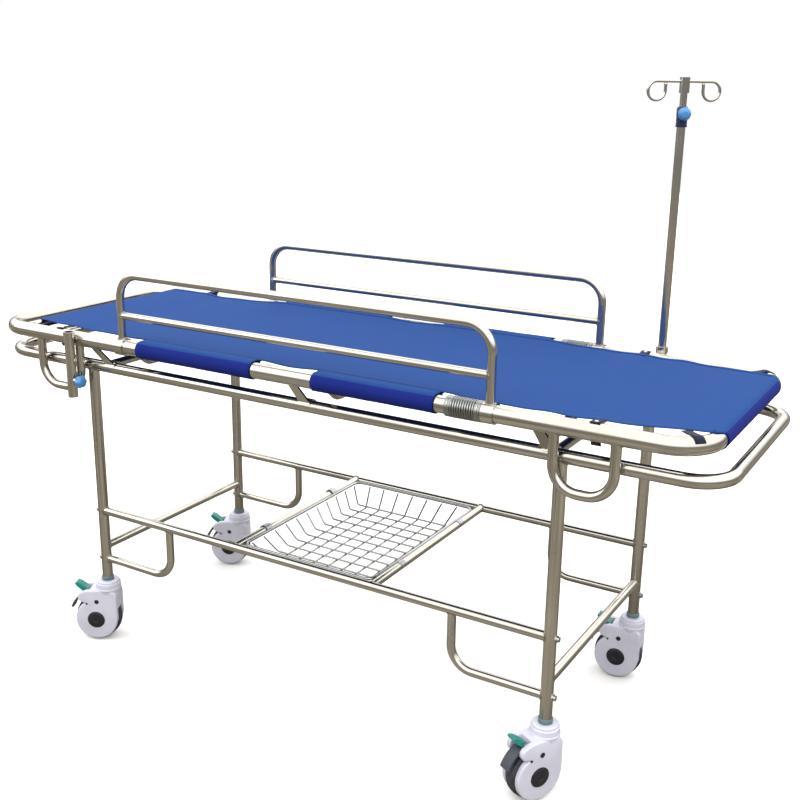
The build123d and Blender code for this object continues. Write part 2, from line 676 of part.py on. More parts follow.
def caster_housing(floor, upright):
    """The moulded housing: two cheeks over the wheel, a head round the stem, a pedal notch."""
    with BuildPart() as shell:
        with BuildSketch(upright):
            with Locations((WHEEL_TRAIL, WHEEL_R)):
                Circle(CHEEK_R)
            with BuildLine():
                Polyline((-34, WHEEL_R), (-34, 150), (36, 150), (74, 112), (80, WHEEL_R), close=True)
            make_face()
        extrude(amount=CHEEK_HALF, both=True)
        fillet(shell.faces().filter_by(upright).edges(), radius=5)
        with BuildSketch(floor.offset(136)):
            Circle(34)
        extrude(amount=30)
        with BuildSketch(floor.offset(150)):
            Circle(30)
        extrude(amount=CASTER_TOP - 150)
        with BuildSketch(floor.offset(160)):
            Circle(40)
            Circle(31.5, mode=Mode.SUBTRACT)
        extrude(amount=2.5, mode=Mode.SUBTRACT)
        with BuildSketch(upright):
            with Locations((WHEEL_TRAIL, WHEEL_R)):
                Circle(WHEEL_R + 3.5)
        extrude(amount=WHEEL_HALF + 2, both=True, mode=Mode.SUBTRACT)
        with BuildSketch(upright):
            with Locations(PEDAL_PIVOT):
                Circle(8)
            with BuildLine():
                Polyline((50, 135), (100, 90), (130, 140), (100, 190), (50, 150), close=True)
            make_face()
        extrude(amount=PEDAL_HALF + 1, both=True, mode=Mode.SUBTRACT)
        with BuildSketch(floor.offset(139)):
            Circle(STEM_R + 0.06)
        extrude(amount=40, mode=Mode.SUBTRACT)
        with BuildSketch(upright):
            with Locations((WHEEL_TRAIL, WHEEL_R)):
                Circle(AXLE_R + 0.05)
        extrude(amount=60, both=True, mode=Mode.SUBTRACT)
        for side in (-1, 1):
            with BuildSketch(upright.offset(side * (CHEEK_HALF - 3))):
                with Locations((26, 118)):
                    Circle(5.5)
            extrude(amount=side * 5, mode=Mode.SUBTRACT)
    return shell.part


def caster_axle(upright):
    """The axle pin with the round caps that close its ends on both cheeks."""
    with BuildPart() as axle:
        with BuildSketch(upright):
            with Locations((WHEEL_TRAIL, WHEEL_R)):
                Circle(AXLE_R)
        extrude(amount=CHEEK_HALF + 1, both=True)
        for side in (-1, 1):
            with BuildSketch(upright.offset(side * (CHEEK_HALF + 0.05))):
                with Locations((WHEEL_TRAIL, WHEEL_R)):
                    Circle(CAP_R)
            extrude(amount=side * CAP_T, taper=25)
    return axle.part


def caster_core(upright):
    """The wheel's nylon core, a web between a hub boss and a rim."""
    with BuildPart() as core:
        with BuildSketch(upright):
            with Locations((WHEEL_TRAIL, WHEEL_R)):
                Circle(CORE_R)
                Circle(AXLE_R + 0.06, mode=Mode.SUBTRACT)
        extrude(amount=WHEEL_HALF - 1, both=True)
        for side in (-1, 1):
            with BuildSketch(upright.offset(side * (WHEEL_HALF - 1))):
                with Locations((WHEEL_TRAIL, WHEEL_R)):
                    Circle(CORE_R - 6)
                    Circle(AXLE_R + 8, mode=Mode.SUBTRACT)
            extrude(amount=-side * 9, mode=Mode.SUBTRACT)
    return core.part


def caster_tyre(upright):
    """The grey rubber tyre, crowned at its shoulders."""
    with BuildPart() as tyre:
        with BuildSketch(upright):
            with Locations((WHEEL_TRAIL, WHEEL_R)):
                Circle(WHEEL_R)
                Circle(CORE_R + 0.02, mode=Mode.SUBTRACT)
        extrude(amount=WHEEL_HALF, both=True)
        fillet(tyre.edges().filter_by(GeomType.CIRCLE).group_by(SortBy.RADIUS)[-1], radius=7)
    return tyre.part


def caster_pedal(upright):
    """The rocking brake pedal: a paddle for the foot and a curved pad for the tyre on one barrel."""
    with BuildPart() as pedal:
        with BuildSketch(upright):
            with Locations(PEDAL_PIVOT):
                Circle(6)
            with BuildLine():
                Polyline((54.5, 144), (62, 133.5), (85, 150.5), (94, 161), (90, 167), (81, 164.5), close=True)
            make_face()
            with BuildLine():
                inner = CenterArc((WHEEL_TRAIL, WHEEL_R), PAD_R, *PAD_SPAN)
                outer = CenterArc((WHEEL_TRAIL, WHEEL_R), PAD_R + PAD_T, *PAD_SPAN)
                Line(inner @ 0, outer @ 0)
                Line(inner @ 1, outer @ 1)
            make_face()
            with BuildLine():
                Polyline((53.5, 136), (62, 127.8), inner @ 0.96, outer @ 0.9, (63, 142), close=True)
            make_face()
        extrude(amount=PEDAL_HALF, both=True)
    return pedal.part


for caster, sx, sy, turn in CASTERS:
    floor, upright = caster_planes(sx, sy, turn)
    save(caster_housing(floor, upright), f"caster_{caster}_housing")
    save(caster_axle(upright), f"caster_{caster}_axle")
    save(caster_core(upright), f"caster_{caster}_wheel")
    save(caster_tyre(upright), f"caster_{caster}_tyre")
    save(caster_pedal(upright), f"caster_{caster}_pedal")
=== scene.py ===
"""Looks of a tube stretcher trolley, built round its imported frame. Lengths are in metres."""

import logging
import math
from dataclasses import dataclass
from enum import Enum

import bmesh
import bpy
from mathutils import Matrix, Vector, noise


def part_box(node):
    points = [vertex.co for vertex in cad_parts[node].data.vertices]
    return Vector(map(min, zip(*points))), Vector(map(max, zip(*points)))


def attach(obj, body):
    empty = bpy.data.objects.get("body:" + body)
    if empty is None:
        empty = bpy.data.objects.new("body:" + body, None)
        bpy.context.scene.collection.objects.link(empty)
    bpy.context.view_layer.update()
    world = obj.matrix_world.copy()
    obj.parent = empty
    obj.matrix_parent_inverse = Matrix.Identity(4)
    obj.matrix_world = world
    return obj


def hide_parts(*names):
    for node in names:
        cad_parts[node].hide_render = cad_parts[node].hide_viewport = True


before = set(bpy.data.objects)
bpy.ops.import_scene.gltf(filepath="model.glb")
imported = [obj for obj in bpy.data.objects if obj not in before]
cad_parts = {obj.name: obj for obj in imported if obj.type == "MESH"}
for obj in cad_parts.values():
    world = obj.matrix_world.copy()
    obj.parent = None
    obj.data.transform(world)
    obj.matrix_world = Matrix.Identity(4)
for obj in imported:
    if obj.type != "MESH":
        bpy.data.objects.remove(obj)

LOG = logging.getLogger("trolley")
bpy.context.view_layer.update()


class Side(Enum):
    """The two long sides of the trolley."""

    NEAR = -1
    FAR = 1

    @property
    def word(self) -> str:
        """The side's name as node names spell it."""
        return self.name.lower()


# ---------------------------------------------------------------------------------------------
# Shared measures, most read from the frame, the rest given as numbers
# ---------------------------------------------------------------------------------------------
def middle(node: str) -> Vector:
    """Centre of a node's box."""
    low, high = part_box(node)
    return (low + high) / 2


def span(node: str) -> Vector:
    """Lengths of the sides of a node's box."""
    low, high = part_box(node)
    return high - low


SIDE_TUBE_R = span("side_tube_near").z / 2
SIDE_TUBE_Y = middle("side_tube_far").y
SIDE_TUBE_Z = middle("side_tube_far").z
TOP_RAIL_R = span("top_rails").z / 2
TOP_RAIL_Z = middle("top_rails").z
LOW_RAIL_R = 0.011
LOW_RAIL_Z = middle("lower_rails").z
LEG_R = span("leg_near_head").x / 2
LEG_X = middle("leg_near_foot").x
LEG_Y = middle("leg_far_foot").y
LEG_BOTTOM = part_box("leg_near_foot")[0].z
POLE_X = middle("pole_tube").x
POLE_Y = middle("pole_tube").y
BASKET_BAR_X = 0.203
BASKET_BAR_R = 0.010
TENSION_BAR_X = -0.859
TINY = 1e-6


# ---------------------------------------------------------------------------------------------
# Shader node groups
# ---------------------------------------------------------------------------------------------
class Recipe:
    """A node tree being laid out from left to right, with short calls to add and join nodes."""

    def __init__(self, tree: bpy.types.NodeTree) -> None:
        """Starts on an empty tree."""
        self.tree = tree
        self.column = 0

    def node(self, kind: str, **settings: object) -> bpy.types.Node:
        """Adds a node.

        Args:
            kind: Blender's type name for the node.
            settings: attributes to set; a name that is an input socket sets its default value.

        Returns:
            The new node.
        """
        made = self.tree.nodes.new(kind)
        made.location = (self.column * 190, -60 * (self.column % 5))
        self.column += 1
        for name, value in settings.items():
            if hasattr(made, name):
                setattr(made, name, value)
            else:
                made.inputs[name.replace("_", " ")].default_value = value
        return made

    def join(self, source: bpy.types.NodeSocket, target: bpy.types.NodeSocket) -> None:
        """Links one socket to another."""
        self.tree.links.new(source, target)

    def ramp(self, source: bpy.types.NodeSocket, low: float, high: float) -> bpy.types.NodeSocket:
        """Clamps and stretches a value so that low becomes 0 and high becomes 1.

        Args:
            source: the value to stretch.
            low: the value that becomes 0.
            high: the value that becomes 1.

        Returns:
            The stretched value.
        """
        made = self.node("ShaderNodeMapRange")
        made.inputs["From Min"].default_value = low
        made.inputs["From Max"].default_value = high
        self.join(source, made.inputs["Value"])
        return made.outputs["Result"]

    def calculate(self, operation: str, first: object, second: object) -> bpy.types.NodeSocket:
        """A Math node of two sockets or numbers.

        Args:
            operation: Blender's name for the sum.
            first: the first socket or number.
            second: the second socket or number.

        Returns:
            The result.
        """
        made = self.node("ShaderNodeMath", operation=operation)
        for slot, value in zip(made.inputs, (first, second)):
            if isinstance(value, (int, float)):
                slot.default_value = value
            else:
                self.join(value, slot)
        return made.outputs["Value"]

    def blend(self, factor: object, first: object, second: object) -> bpy.types.NodeSocket:
        """A colour mix of two colours or colour sockets.

        Args:
            factor: share of the second colour, as a socket or a number.
            first: the first colour or socket.
            second: the second colour or socket.

        Returns:
            The mixed colour.
        """
        made = self.node("ShaderNodeMix", data_type="RGBA")
        for slot, value in ((made.inputs[0], factor), (made.inputs[6], first), (made.inputs[7], second)):
            if isinstance(value, bpy.types.NodeSocket):
                self.join(value, slot)
            elif isinstance(value, (int, float)):
                slot.default_value = value
            else:
                slot.default_value = (*value, 1)
        return made.outputs[2]


def new_group(name: str, inputs: dict[str, float], outputs: tuple[str, ...]) -> Recipe:
    """Starts a node group with a Vector input, float inputs and float outputs.

    Args:
        name: name of the group.
        inputs: float inputs and their defaults.
        outputs: names of the float outputs.

    Returns:
        The recipe of the group's tree, with its first two nodes the group's input and output.
    """
    tree = bpy.data.node_groups.new(name, "ShaderNodeTree")
    tree.interface.new_socket("Vector", in_out="INPUT", socket_type="NodeSocketVector")
    for label, value in inputs.items():
        tree.interface.new_socket(label, in_out="INPUT", socket_type="NodeSocketFloat").default_value = value
    for label in outputs:
        tree.interface.new_socket(label, in_out="OUTPUT", socket_type="NodeSocketFloat")
    recipe = Recipe(tree)
    recipe.start = recipe.node("NodeGroupInput")
    recipe.end = recipe.node("NodeGroupOutput")
    return recipe


def scaled_noise(recipe: Recipe, vector: object, scale: object, detail: float, rough: float = 0.55) -> object:
    """A noise texture's value on a vector socket, with its scale from a socket or a number.

    Args:
        recipe: the recipe that takes the nodes.
        vector: where the texture is read.
        scale: its scale, from a socket or a number.
        detail: octaves of finer noise.
        rough: share of the finer noise.

    Returns:
        The noise's value.
    """
    texture = recipe.node("ShaderNodeTexNoise", Detail=detail, Roughness=rough)
    recipe.join(vector, texture.inputs["Vector"])
    if isinstance(scale, (int, float)):
        texture.inputs["Scale"].default_value = scale
    else:
        recipe.join(scale, texture.inputs["Scale"])
    return texture.outputs["Fac"]


def polish_group() -> bpy.types.NodeTree:
    """Polished metal: fine hairlines, soft handling smudges and the odd scratch.

    Returns:
        The group.
    """
    recipe = new_group("polish marks", {"Grain": 900.0, "Smudge": 9.0}, ("Lines", "Smudges", "Scratches"))
    start, end = recipe.start, recipe.end
    vector = start.outputs["Vector"]
    recipe.join(scaled_noise(recipe, vector, start.outputs["Grain"], 3.0), end.inputs["Lines"])
    smudge = scaled_noise(recipe, vector, start.outputs["Smudge"], 4.0, 0.65)
    recipe.join(recipe.ramp(smudge, 0.42, 0.68), end.inputs["Smudges"])
    warp = recipe.node("ShaderNodeMapping", vector_type="TEXTURE")
    warp.inputs["Scale"].default_value = (0.9, 0.35, 0.06)
    warp.inputs["Rotation"].default_value = (0.6, 0.4, 0.9)
    recipe.join(vector, warp.inputs["Vector"])
    cells = recipe.node("ShaderNodeTexVoronoi", feature="DISTANCE_TO_EDGE", Scale=26.0)
    recipe.join(warp.outputs["Vector"], cells.inputs["Vector"])
    recipe.join(recipe.ramp(cells.outputs["Distance"], 0.012, 0.0), end.inputs["Scratches"])
    return recipe.tree


def weave_group() -> bpy.types.NodeTree:
    """Plain weave: crossing threads that go over and under, with uneven yarn and soft cloudy wear.

    Returns:
        The group.
    """
    recipe = new_group("plain weave", {"Threads": 900.0, "Cloud": 6.0}, ("Threads", "Yarn", "Cloud"))
    start, end = recipe.start, recipe.end
    vector = start.outputs["Vector"]
    apart = recipe.node("ShaderNodeSeparateXYZ")
    recipe.join(vector, apart.inputs["Vector"])
    waves = []
    for axis in "XY":
        turned = recipe.calculate("MULTIPLY", apart.outputs[axis], start.outputs["Threads"])
        waves.append(recipe.calculate("ABSOLUTE", recipe.calculate("SINE", turned, 0.0), 0.0))
    recipe.join(recipe.calculate("MAXIMUM", waves[0], waves[1]), end.inputs["Threads"])
    streaks = recipe.node("ShaderNodeMapping")
    streaks.inputs["Scale"].default_value = (2.0, 60.0, 2.0)
    recipe.join(vector, streaks.inputs["Vector"])
    recipe.join(scaled_noise(recipe, streaks.outputs["Vector"], 4.0, 5.0, 0.7), end.inputs["Yarn"])
    recipe.join(scaled_noise(recipe, vector, start.outputs["Cloud"], 5.0, 0.6), end.inputs["Cloud"])
    return recipe.tree


def mould_group() -> bpy.types.NodeTree:
    """Moulded plastic: a fine spark-eroded skin, faint flow shades and dust settled in patches.

    Returns:
        The group.
    """
    recipe = new_group("moulded skin", {"Skin": 1400.0, "Flow": 18.0}, ("Skin", "Flow", "Dust"))
    start, end = recipe.start, recipe.end
    vector = start.outputs["Vector"]
    recipe.join(scaled_noise(recipe, vector, start.outputs["Skin"], 2.0), end.inputs["Skin"])
    recipe.join(scaled_noise(recipe, vector, start.outputs["Flow"], 3.0), end.inputs["Flow"])
    patch = scaled_noise(recipe, vector, 38.0, 6.0, 0.7)
    recipe.join(recipe.ramp(patch, 0.48, 0.72), end.inputs["Dust"])
    return recipe.tree


class Groups:
    """The shared node groups, each built once."""

    def __init__(self) -> None:
        """Builds every group."""
        self.polish = polish_group()
        self.weave = weave_group()
        self.mould = mould_group()


# ---------------------------------------------------------------------------------------------
# Finishes
# ---------------------------------------------------------------------------------------------
Colour = tuple[float, float, float]


@dataclass(frozen=True)
class Finish:
    """What every finish shares: a name, a colour and how it takes the light."""

    name: str
    colour: Colour
    roughness: float

    def begin(self) -> tuple[bpy.types.Material, Recipe, bpy.types.Node]:
        """Starts the material.

        Returns:
            The material, the recipe of its node tree and its Principled shader.
        """
        material = bpy.data.materials.new(self.name)
        material.use_nodes = True
        material.diffuse_color = (*self.colour, 1)
        material.node_tree.nodes.clear()
        recipe = Recipe(material.node_tree)
        shader = recipe.node("ShaderNodeBsdfPrincipled", Roughness=self.roughness)
        shader.inputs["Base Color"].default_value = (*self.colour, 1)
        output = recipe.node("ShaderNodeOutputMaterial")
        recipe.join(shader.outputs["BSDF"], output.inputs["Surface"])
        return material, recipe, shader

    def place(self, recipe: Recipe, group: bpy.types.NodeTree, coordinate: str = "Object") -> bpy.types.Node:
        """Adds a shared group and feeds it the piece's own coordinates.

        Args:
            recipe: the recipe that takes the nodes.
            group: the group to place.
            coordinate: which of the coordinates it follows.

        Returns:
            The group's node.
        """
        where = recipe.node("ShaderNodeTexCoord")
        made = recipe.node("ShaderNodeGroup", node_tree=group)
        recipe.join(where.outputs[coordinate], made.inputs["Vector"])
        return made

    def emboss(
        self, recipe: Recipe, shader: bpy.types.Node, height: object, depth: float, strength: float
    ) -> None:
        """Feeds a height into the shader's normal through a Bump node.

        Args:
            recipe: the recipe that takes the node.
            shader: the shader whose normal is bumped.
            height: the height, from 0 to 1.
            depth: how deep a height of 1 is.
            strength: share of the bump that shows.
        """
        bump = recipe.node("ShaderNodeBump", Strength=strength, Distance=depth)
        recipe.join(height, bump.inputs["Height"])
        recipe.join(bump.outputs["Normal"], shader.inputs["Normal"])

    def make(self, groups: Groups) -> bpy.types.Material:
        """Builds the material; each kind of finish does this its own way."""
        raise NotImplementedError


@dataclass(frozen=True)
class Metal(Finish):
    """Polished or brushed steel, with a second tone where it has been handled."""

    worn: Colour = (0.3, 0.28, 0.24)
    spread: float = 0.10
    hairline: float = 0.00002

    def make(self, groups: Groups) -> bpy.types.Material:
        """Builds the metal's material.

        Args:
            groups: the shared node groups.

        Returns:
            The material.
        """
        material, recipe, shader = self.begin()
        shader.inputs["Metallic"].default_value = 1.0
        marks = self.place(recipe, groups.polish)
        handled = recipe.calculate("MULTIPLY", marks.outputs["Smudges"], 0.55)
        tone = recipe.blend(handled, self.colour, self.worn)
        recipe.join(tone, shader.inputs["Base Color"])
        dull = recipe.calculate("MULTIPLY", marks.outputs["Smudges"], self.spread)
        dull = recipe.calculate("ADD", dull, recipe.calculate("MULTIPLY", marks.outputs["Scratches"], 0.10))
        recipe.join(recipe.calculate("ADD", dull, self.roughness), shader.inputs["Roughness"])
        height = recipe.calculate("ADD", marks.outputs["Lines"], marks.outputs["Scratches"])
        self.emboss(recipe, shader, height, self.hairline, 0.35)
        return material


@dataclass(frozen=True)
class WeldMetal(Finish):
    """Weld bead: rippled, duller, with a brown and blue heat tint."""

    tint: Colour = (0.16, 0.13, 0.15)

    def make(self, groups: Groups) -> bpy.types.Material:
        """Builds the bead's material.

        Args:
            groups: the shared node groups.

        Returns:
            The material.
        """
        material, recipe, shader = self.begin()
        shader.inputs["Metallic"].default_value = 1.0
        marks = self.place(recipe, groups.polish)
        marks.inputs["Grain"].default_value = 420.0
        marks.inputs["Smudge"].default_value = 60.0
        tinted = recipe.blend(marks.outputs["Smudges"], self.colour, self.tint)
        recipe.join(tinted, shader.inputs["Base Color"])
        dull = recipe.calculate("ADD", marks.outputs["Lines"], self.roughness - 0.4)
        recipe.join(dull, shader.inputs["Roughness"])
        self.emboss(recipe, shader, marks.outputs["Lines"], 0.0006, 0.8)
        return material


@dataclass(frozen=True)
class Cloth(Finish):
    """Woven cloth on the piece's own UV map, whose units are metres."""

    # Colour of the painted shade in the gaps between the threads.
    deep: Colour = (0.02, 0.05, 0.2)
    threads: float = 1900.0
    sheen: float = 0.02

    def make(self, groups: Groups) -> bpy.types.Material:
        """Builds the cloth's material.

        Args:
            groups: the shared node groups.

        Returns:
            The material.
        """
        material, recipe, shader = self.begin()
        shader.inputs["Sheen Weight"].default_value = self.sheen
        shader.inputs["Sheen Roughness"].default_value = 0.4
        shader.inputs["Specular IOR Level"].default_value = 0.06
        weave = self.place(recipe, groups.weave, "UV")
        weave.inputs["Threads"].default_value = self.threads
        body = recipe.blend(recipe.ramp(weave.outputs["Cloud"], 0.25, 0.75), self.colour, self.shade(1.16))
        # Painted shade: the gaps between the threads are darkened towards the deep colour.
        gaps = recipe.ramp(weave.outputs["Threads"], 0.95, 0.62)
        woven = recipe.blend(recipe.calculate("MULTIPLY", gaps, 0.55), body, self.deep)
        yarn = recipe.ramp(weave.outputs["Yarn"], 0.30, 0.72)
        recipe.join(recipe.blend(recipe.calculate("MULTIPLY", yarn, 0.22), woven, self.shade(1.45)),
                    shader.inputs["Base Color"])
        rough = recipe.calculate("MULTIPLY", weave.outputs["Cloud"], 0.15)
        recipe.join(recipe.calculate("ADD", rough, self.roughness - 0.07), shader.inputs["Roughness"])
        slubs = recipe.calculate("MULTIPLY", weave.outputs["Yarn"], 1.5)
        height = recipe.calculate("ADD", weave.outputs["Threads"], slubs)
        self.emboss(recipe, shader, height, 0.0003, 0.55)
        return material

    def shade(self, factor: float) -> Colour:
        """The cloth's colour, lighter or darker."""
        return tuple(min(1.0, part * factor) for part in self.colour)


@dataclass(frozen=True)
class Moulding(Finish):
    """Moulded plastic or rubber with settled dust."""

    dust: Colour = (0.5, 0.48, 0.45)
    dusty: float = 0.15
    coat: float = 0.0
    bloom: float = 0.00006

    def make(self, groups: Groups) -> bpy.types.Material:
        """Builds the plastic's material.

        Args:
            groups: the shared node groups.

        Returns:
            The material.
        """
        material, recipe, shader = self.begin()
        shader.inputs["Coat Weight"].default_value = self.coat
        shader.inputs["Coat Roughness"].default_value = 0.12
        skin = self.place(recipe, groups.mould)
        flow = recipe.ramp(skin.outputs["Flow"], 0.3, 0.7)
        darker = tuple(part * 0.88 for part in self.colour)
        body = recipe.blend(flow, self.colour, darker)
        settled = recipe.calculate("MULTIPLY", skin.outputs["Dust"], self.dusty)
        recipe.join(recipe.blend(settled, body, self.dust), shader.inputs["Base Color"])
        dull = recipe.calculate("MULTIPLY", skin.outputs["Dust"], 0.2)
        recipe.join(recipe.calculate("ADD", dull, self.roughness), shader.inputs["Roughness"])
        self.emboss(recipe, shader, skin.outputs["Skin"], self.bloom, 0.5)
        return material


STAINLESS = Metal("polished stainless", (0.54, 0.52, 0.48), 0.13, worn=(0.44, 0.42, 0.38))
BRIGHT = Metal("turned bright steel", (0.46, 0.46, 0.45), 0.24, worn=(0.34, 0.34, 0.33))
WIRE = Metal("bright welded wire", (0.40, 0.41, 0.42), 0.22, worn=(0.28, 0.29, 0.30))
SPRING = Metal("dark spring steel", (0.30, 0.31, 0.31), 0.30, worn=(0.18, 0.19, 0.19))
WELD = WeldMetal("weld bead", (0.40, 0.37, 0.33), 0.42)
CANVAS = Cloth("blue deck canvas", (0.013, 0.052, 0.200), 0.78, deep=(0.006, 0.028, 0.12))
# A darker copy of the deck canvas: painted shade for the cloth that turns down over the tubes.
SIDE_SHADE_CANVAS = Cloth("side sleeve canvas", (0.010, 0.020, 0.175), 0.78, deep=(0.005, 0.010, 0.10))
THREAD = Moulding("sewing thread", (0.10, 0.16, 0.42), 0.6, dusty=0.05)
WEBBING = Cloth(
    "dark webbing", (0.016, 0.018, 0.04), 0.7, deep=(0.004, 0.004, 0.01), threads=2600.0, sheen=0.1
)
STUD = Moulding("pale press stud", (0.62, 0.68, 0.70), 0.3, coat=0.4)
HOUSING = Moulding(
    "pale caster nylon", (0.62, 0.63, 0.75), 0.42, dust=(0.42, 0.40, 0.40), dusty=0.12, coat=0.08
)
DARK_CAP = Moulding("dark caster cap", (0.010, 0.009, 0.014), 0.5, dusty=0.03, coat=0.0)
CORE = Moulding("wheel core nylon", (0.11, 0.12, 0.14), 0.4)
TYRE = Moulding("slate tyre", (0.022, 0.026, 0.040), 0.6, dusty=0.10, bloom=0.0002)
BRAKE_PAD = Moulding("slate brake pad", (0.042, 0.054, 0.078), 0.5, dusty=0.06)
PEDAL = Moulding("teal pedal", (0.0, 0.225, 0.180), 0.36, coat=0.1, dusty=0.03)
KNOB = Moulding("light blue knob", (0.060, 0.255, 0.60), 0.28, coat=0.3, dusty=0.04)
CLAMP = Moulding("navy clamp", (0.008, 0.017, 0.075), 0.4, coat=0.1, dusty=0.03)
LEG_RING = Moulding("slate leg ring", (0.10, 0.17, 0.19), 0.4, dusty=0.1)


class Paintshop:
    """Makes each finish's material once and hands it out."""

    def __init__(self) -> None:
        """Builds the shared groups."""
        self.groups = Groups()
        self.made: dict[str, bpy.types.Material] = {}

    def material(self, finish: Finish) -> bpy.types.Material:
        """The material of a finish."""
        if finish.name not in self.made:
            self.made[finish.name] = finish.make(self.groups)
        return self.made[finish.name]

    def dress_node(self, node: str, finish: Finish) -> None:
        """Gives a carried CAD node a finish in place of its plain material.

        Args:
            node: the CAD node's name.
            finish: its finish.
        """
        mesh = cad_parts[node].data
        mesh.materials.clear()
        mesh.materials.append(self.material(finish))


# ---------------------------------------------------------------------------------------------
# Workshop: making bmesh shapes and turning them into pieces
# ---------------------------------------------------------------------------------------------
def edges_of(parts: list) -> list[bmesh.types.BMEdge]:
    """The edges among what a bmesh operator returned."""
    return [part for part in parts if isinstance(part, bmesh.types.BMEdge)]


def verts_of(parts: list) -> list[bmesh.types.BMVert]:
    """The vertices among what a bmesh operator returned."""
    return [part for part in parts if isinstance(part, bmesh.types.BMVert)]


def facing(origin: Vector, along: Vector, side: Vector | None = None) -> Matrix:
    """A place whose Z runs along a direction and, where given, whose X is near a second one.

    Args:
        origin: where the place is.
        along: direction of its Z.
        side: direction that its X is near.

    Returns:
        The place.
    """
    z = Vector(along).normalized()
    if side is None:
        turn = z.to_track_quat("Z", "Y").to_matrix()
    else:
        y = z.cross(Vector(side)).normalized()
        turn = Matrix((y.cross(z), y, z)).transposed()
    return Matrix.Translation(origin) @ turn.to_4x4()


def turned(degrees: float, axis: str = "Z") -> Matrix:
    """A turn about one of the main axes, in degrees."""
    return Matrix.Rotation(math.radians(degrees), 4, axis)


def draw_line(shape: bmesh.types.BMesh, points: list) -> tuple[list, list]:
    """Draws an open line of edges through points.

    Args:
        shape: the bmesh that takes the line.
        points: where the line goes, in order.

    Returns:
        The new vertices and the new edges.
    """
    line = [shape.verts.new(point) for point in points]
    return line, [shape.edges.new(pair) for pair in zip(line, line[1:])]


def run_straight(shape: bmesh.types.BMesh, section: list, step: Vector) -> list:
    """Extrudes a section by a step and returns the new end section's edges.

    Args:
        shape: the bmesh that holds the section.
        section: edges of the section.
        step: how far it is drawn.

    Returns:
        The new end section's edges.
    """
    made = bmesh.ops.extrude_edge_only(shape, edges=section)["geom"]
    bmesh.ops.translate(shape, verts=verts_of(made), vec=step)
    return edges_of(made)


def bend_rod(
    shape: bmesh.types.BMesh,
    route: list,
    bend: float,
    radius: float,
    sides: int = 10,
    steps: int = 6,
) -> None:
    """Makes a round rod along straight runs that are joined by bends of one radius.

    Args:
        shape: the bmesh that takes the rod.
        route: corner points of the rod's centre line.
        bend: radius of the centre line in each bend.
        radius: radius of the rod.
        sides: faces round the rod.
        steps: sections in each bend.
    """
    corners = [Vector(point) for point in route]
    heading = (corners[1] - corners[0]).normalized()
    ring = bmesh.ops.create_circle(
        shape, cap_ends=True, radius=radius, segments=sides, matrix=facing(corners[0], heading)
    )["verts"]
    section = list({edge for vert in ring for edge in vert.link_edges})
    here = corners[0]
    for i in range(1, len(corners)):
        last = i == len(corners) - 1
        turn, trim, following = 0.0, 0.0, heading
        if not last:
            following = (corners[i + 1] - corners[i]).normalized()
            turn = heading.angle(following)
            trim = bend * math.tan(turn / 2)
        stop = corners[i] - heading * trim
        section = run_straight(shape, section, stop - here)
        if not last and turn > 1e-4:
            axis = heading.cross(following).normalized()
            swept = bmesh.ops.spin(
                shape,
                geom=section + list({vert for edge in section for vert in edge.verts}),
                cent=stop + axis.cross(heading) * bend,
                axis=axis,
                angle=turn,
                steps=steps,
                use_merge=False,
                use_duplicate=False,
            )
            section = edges_of(swept["geom_last"])
        here = corners[i] + following * trim
        heading = following
    bmesh.ops.contextual_create(shape, geom=section)


def add_pin(shape: bmesh.types.BMesh, place: Matrix, radius: float, length: float, sides: int) -> None:
    """Adds a round pin centred on a place, along its Z.

    Args:
        shape: the bmesh that takes the pin.
        place: the pin's middle and direction.
        radius: radius of the pin.
        length: its whole length.
        sides: faces round it.
    """
    bmesh.ops.create_cone(
        shape, cap_ends=True, cap_tris=False, segments=sides, radius1=radius, radius2=radius, depth=length,
        matrix=place,
    )


def turn_profile(
    shape: bmesh.types.BMesh,
    profile: list[tuple[float, float]],
    place: Matrix | None = None,
    steps: int = 48,
) -> list[bmesh.types.BMVert]:
    """Turns a profile about Z as on a lathe.

    Args:
        shape: the bmesh that takes the turned part.
        profile: points as radius and height, in order along the outline.
        place: where the part goes.
        steps: sections round the part.

    Returns:
        The new vertices.
    """
    before = set(shape.verts)
    points, lines = draw_line(shape, [(radius, 0, height) for radius, height in profile])
    bmesh.ops.spin(
        shape, geom=points + lines, cent=(0, 0, 0), axis=(0, 0, 1), angle=2 * math.pi, steps=steps,
        use_merge=True,
    )
    fresh = [vert for vert in shape.verts if vert not in before]
    bmesh.ops.remove_doubles(shape, verts=fresh, dist=TINY)
    fresh = [vert for vert in shape.verts if vert not in before]
    if place is not None:
        bmesh.ops.transform(shape, matrix=place, verts=fresh)
    return fresh


def eased(profile: list[tuple[float, float]], radius: float, steps: int = 3) -> list[tuple[float, float]]:
    """A profile with its inner corners rounded to a radius.

    Args:
        profile: corner points.
        radius: radius of the rounding.
        steps: faces across each rounding.

    Returns:
        The rounded profile.
    """
    corners = [Vector((a, b)) for a, b in profile]
    out = [tuple(corners[0])]
    for before, corner, after in zip(corners, corners[1:], corners[2:]):
        into, away = (corner - before), (after - corner)
        if into.length < 1e-7 or away.length < 1e-7 or into.angle(away) < 0.15:
            out.append(tuple(corner))
            continue
        angle = into.angle(away)
        reach = min(radius * math.tan(angle / 2), into.length * 0.48, away.length * 0.48)
        first, second = corner - into.normalized() * reach, corner + away.normalized() * reach
        for k in range(steps + 1):
            t = k / steps
            out.append(tuple(first * (1 - t) ** 2 + corner * 2 * t * (1 - t) + second * t * t))
    out.append(tuple(corners[-1]))
    return out


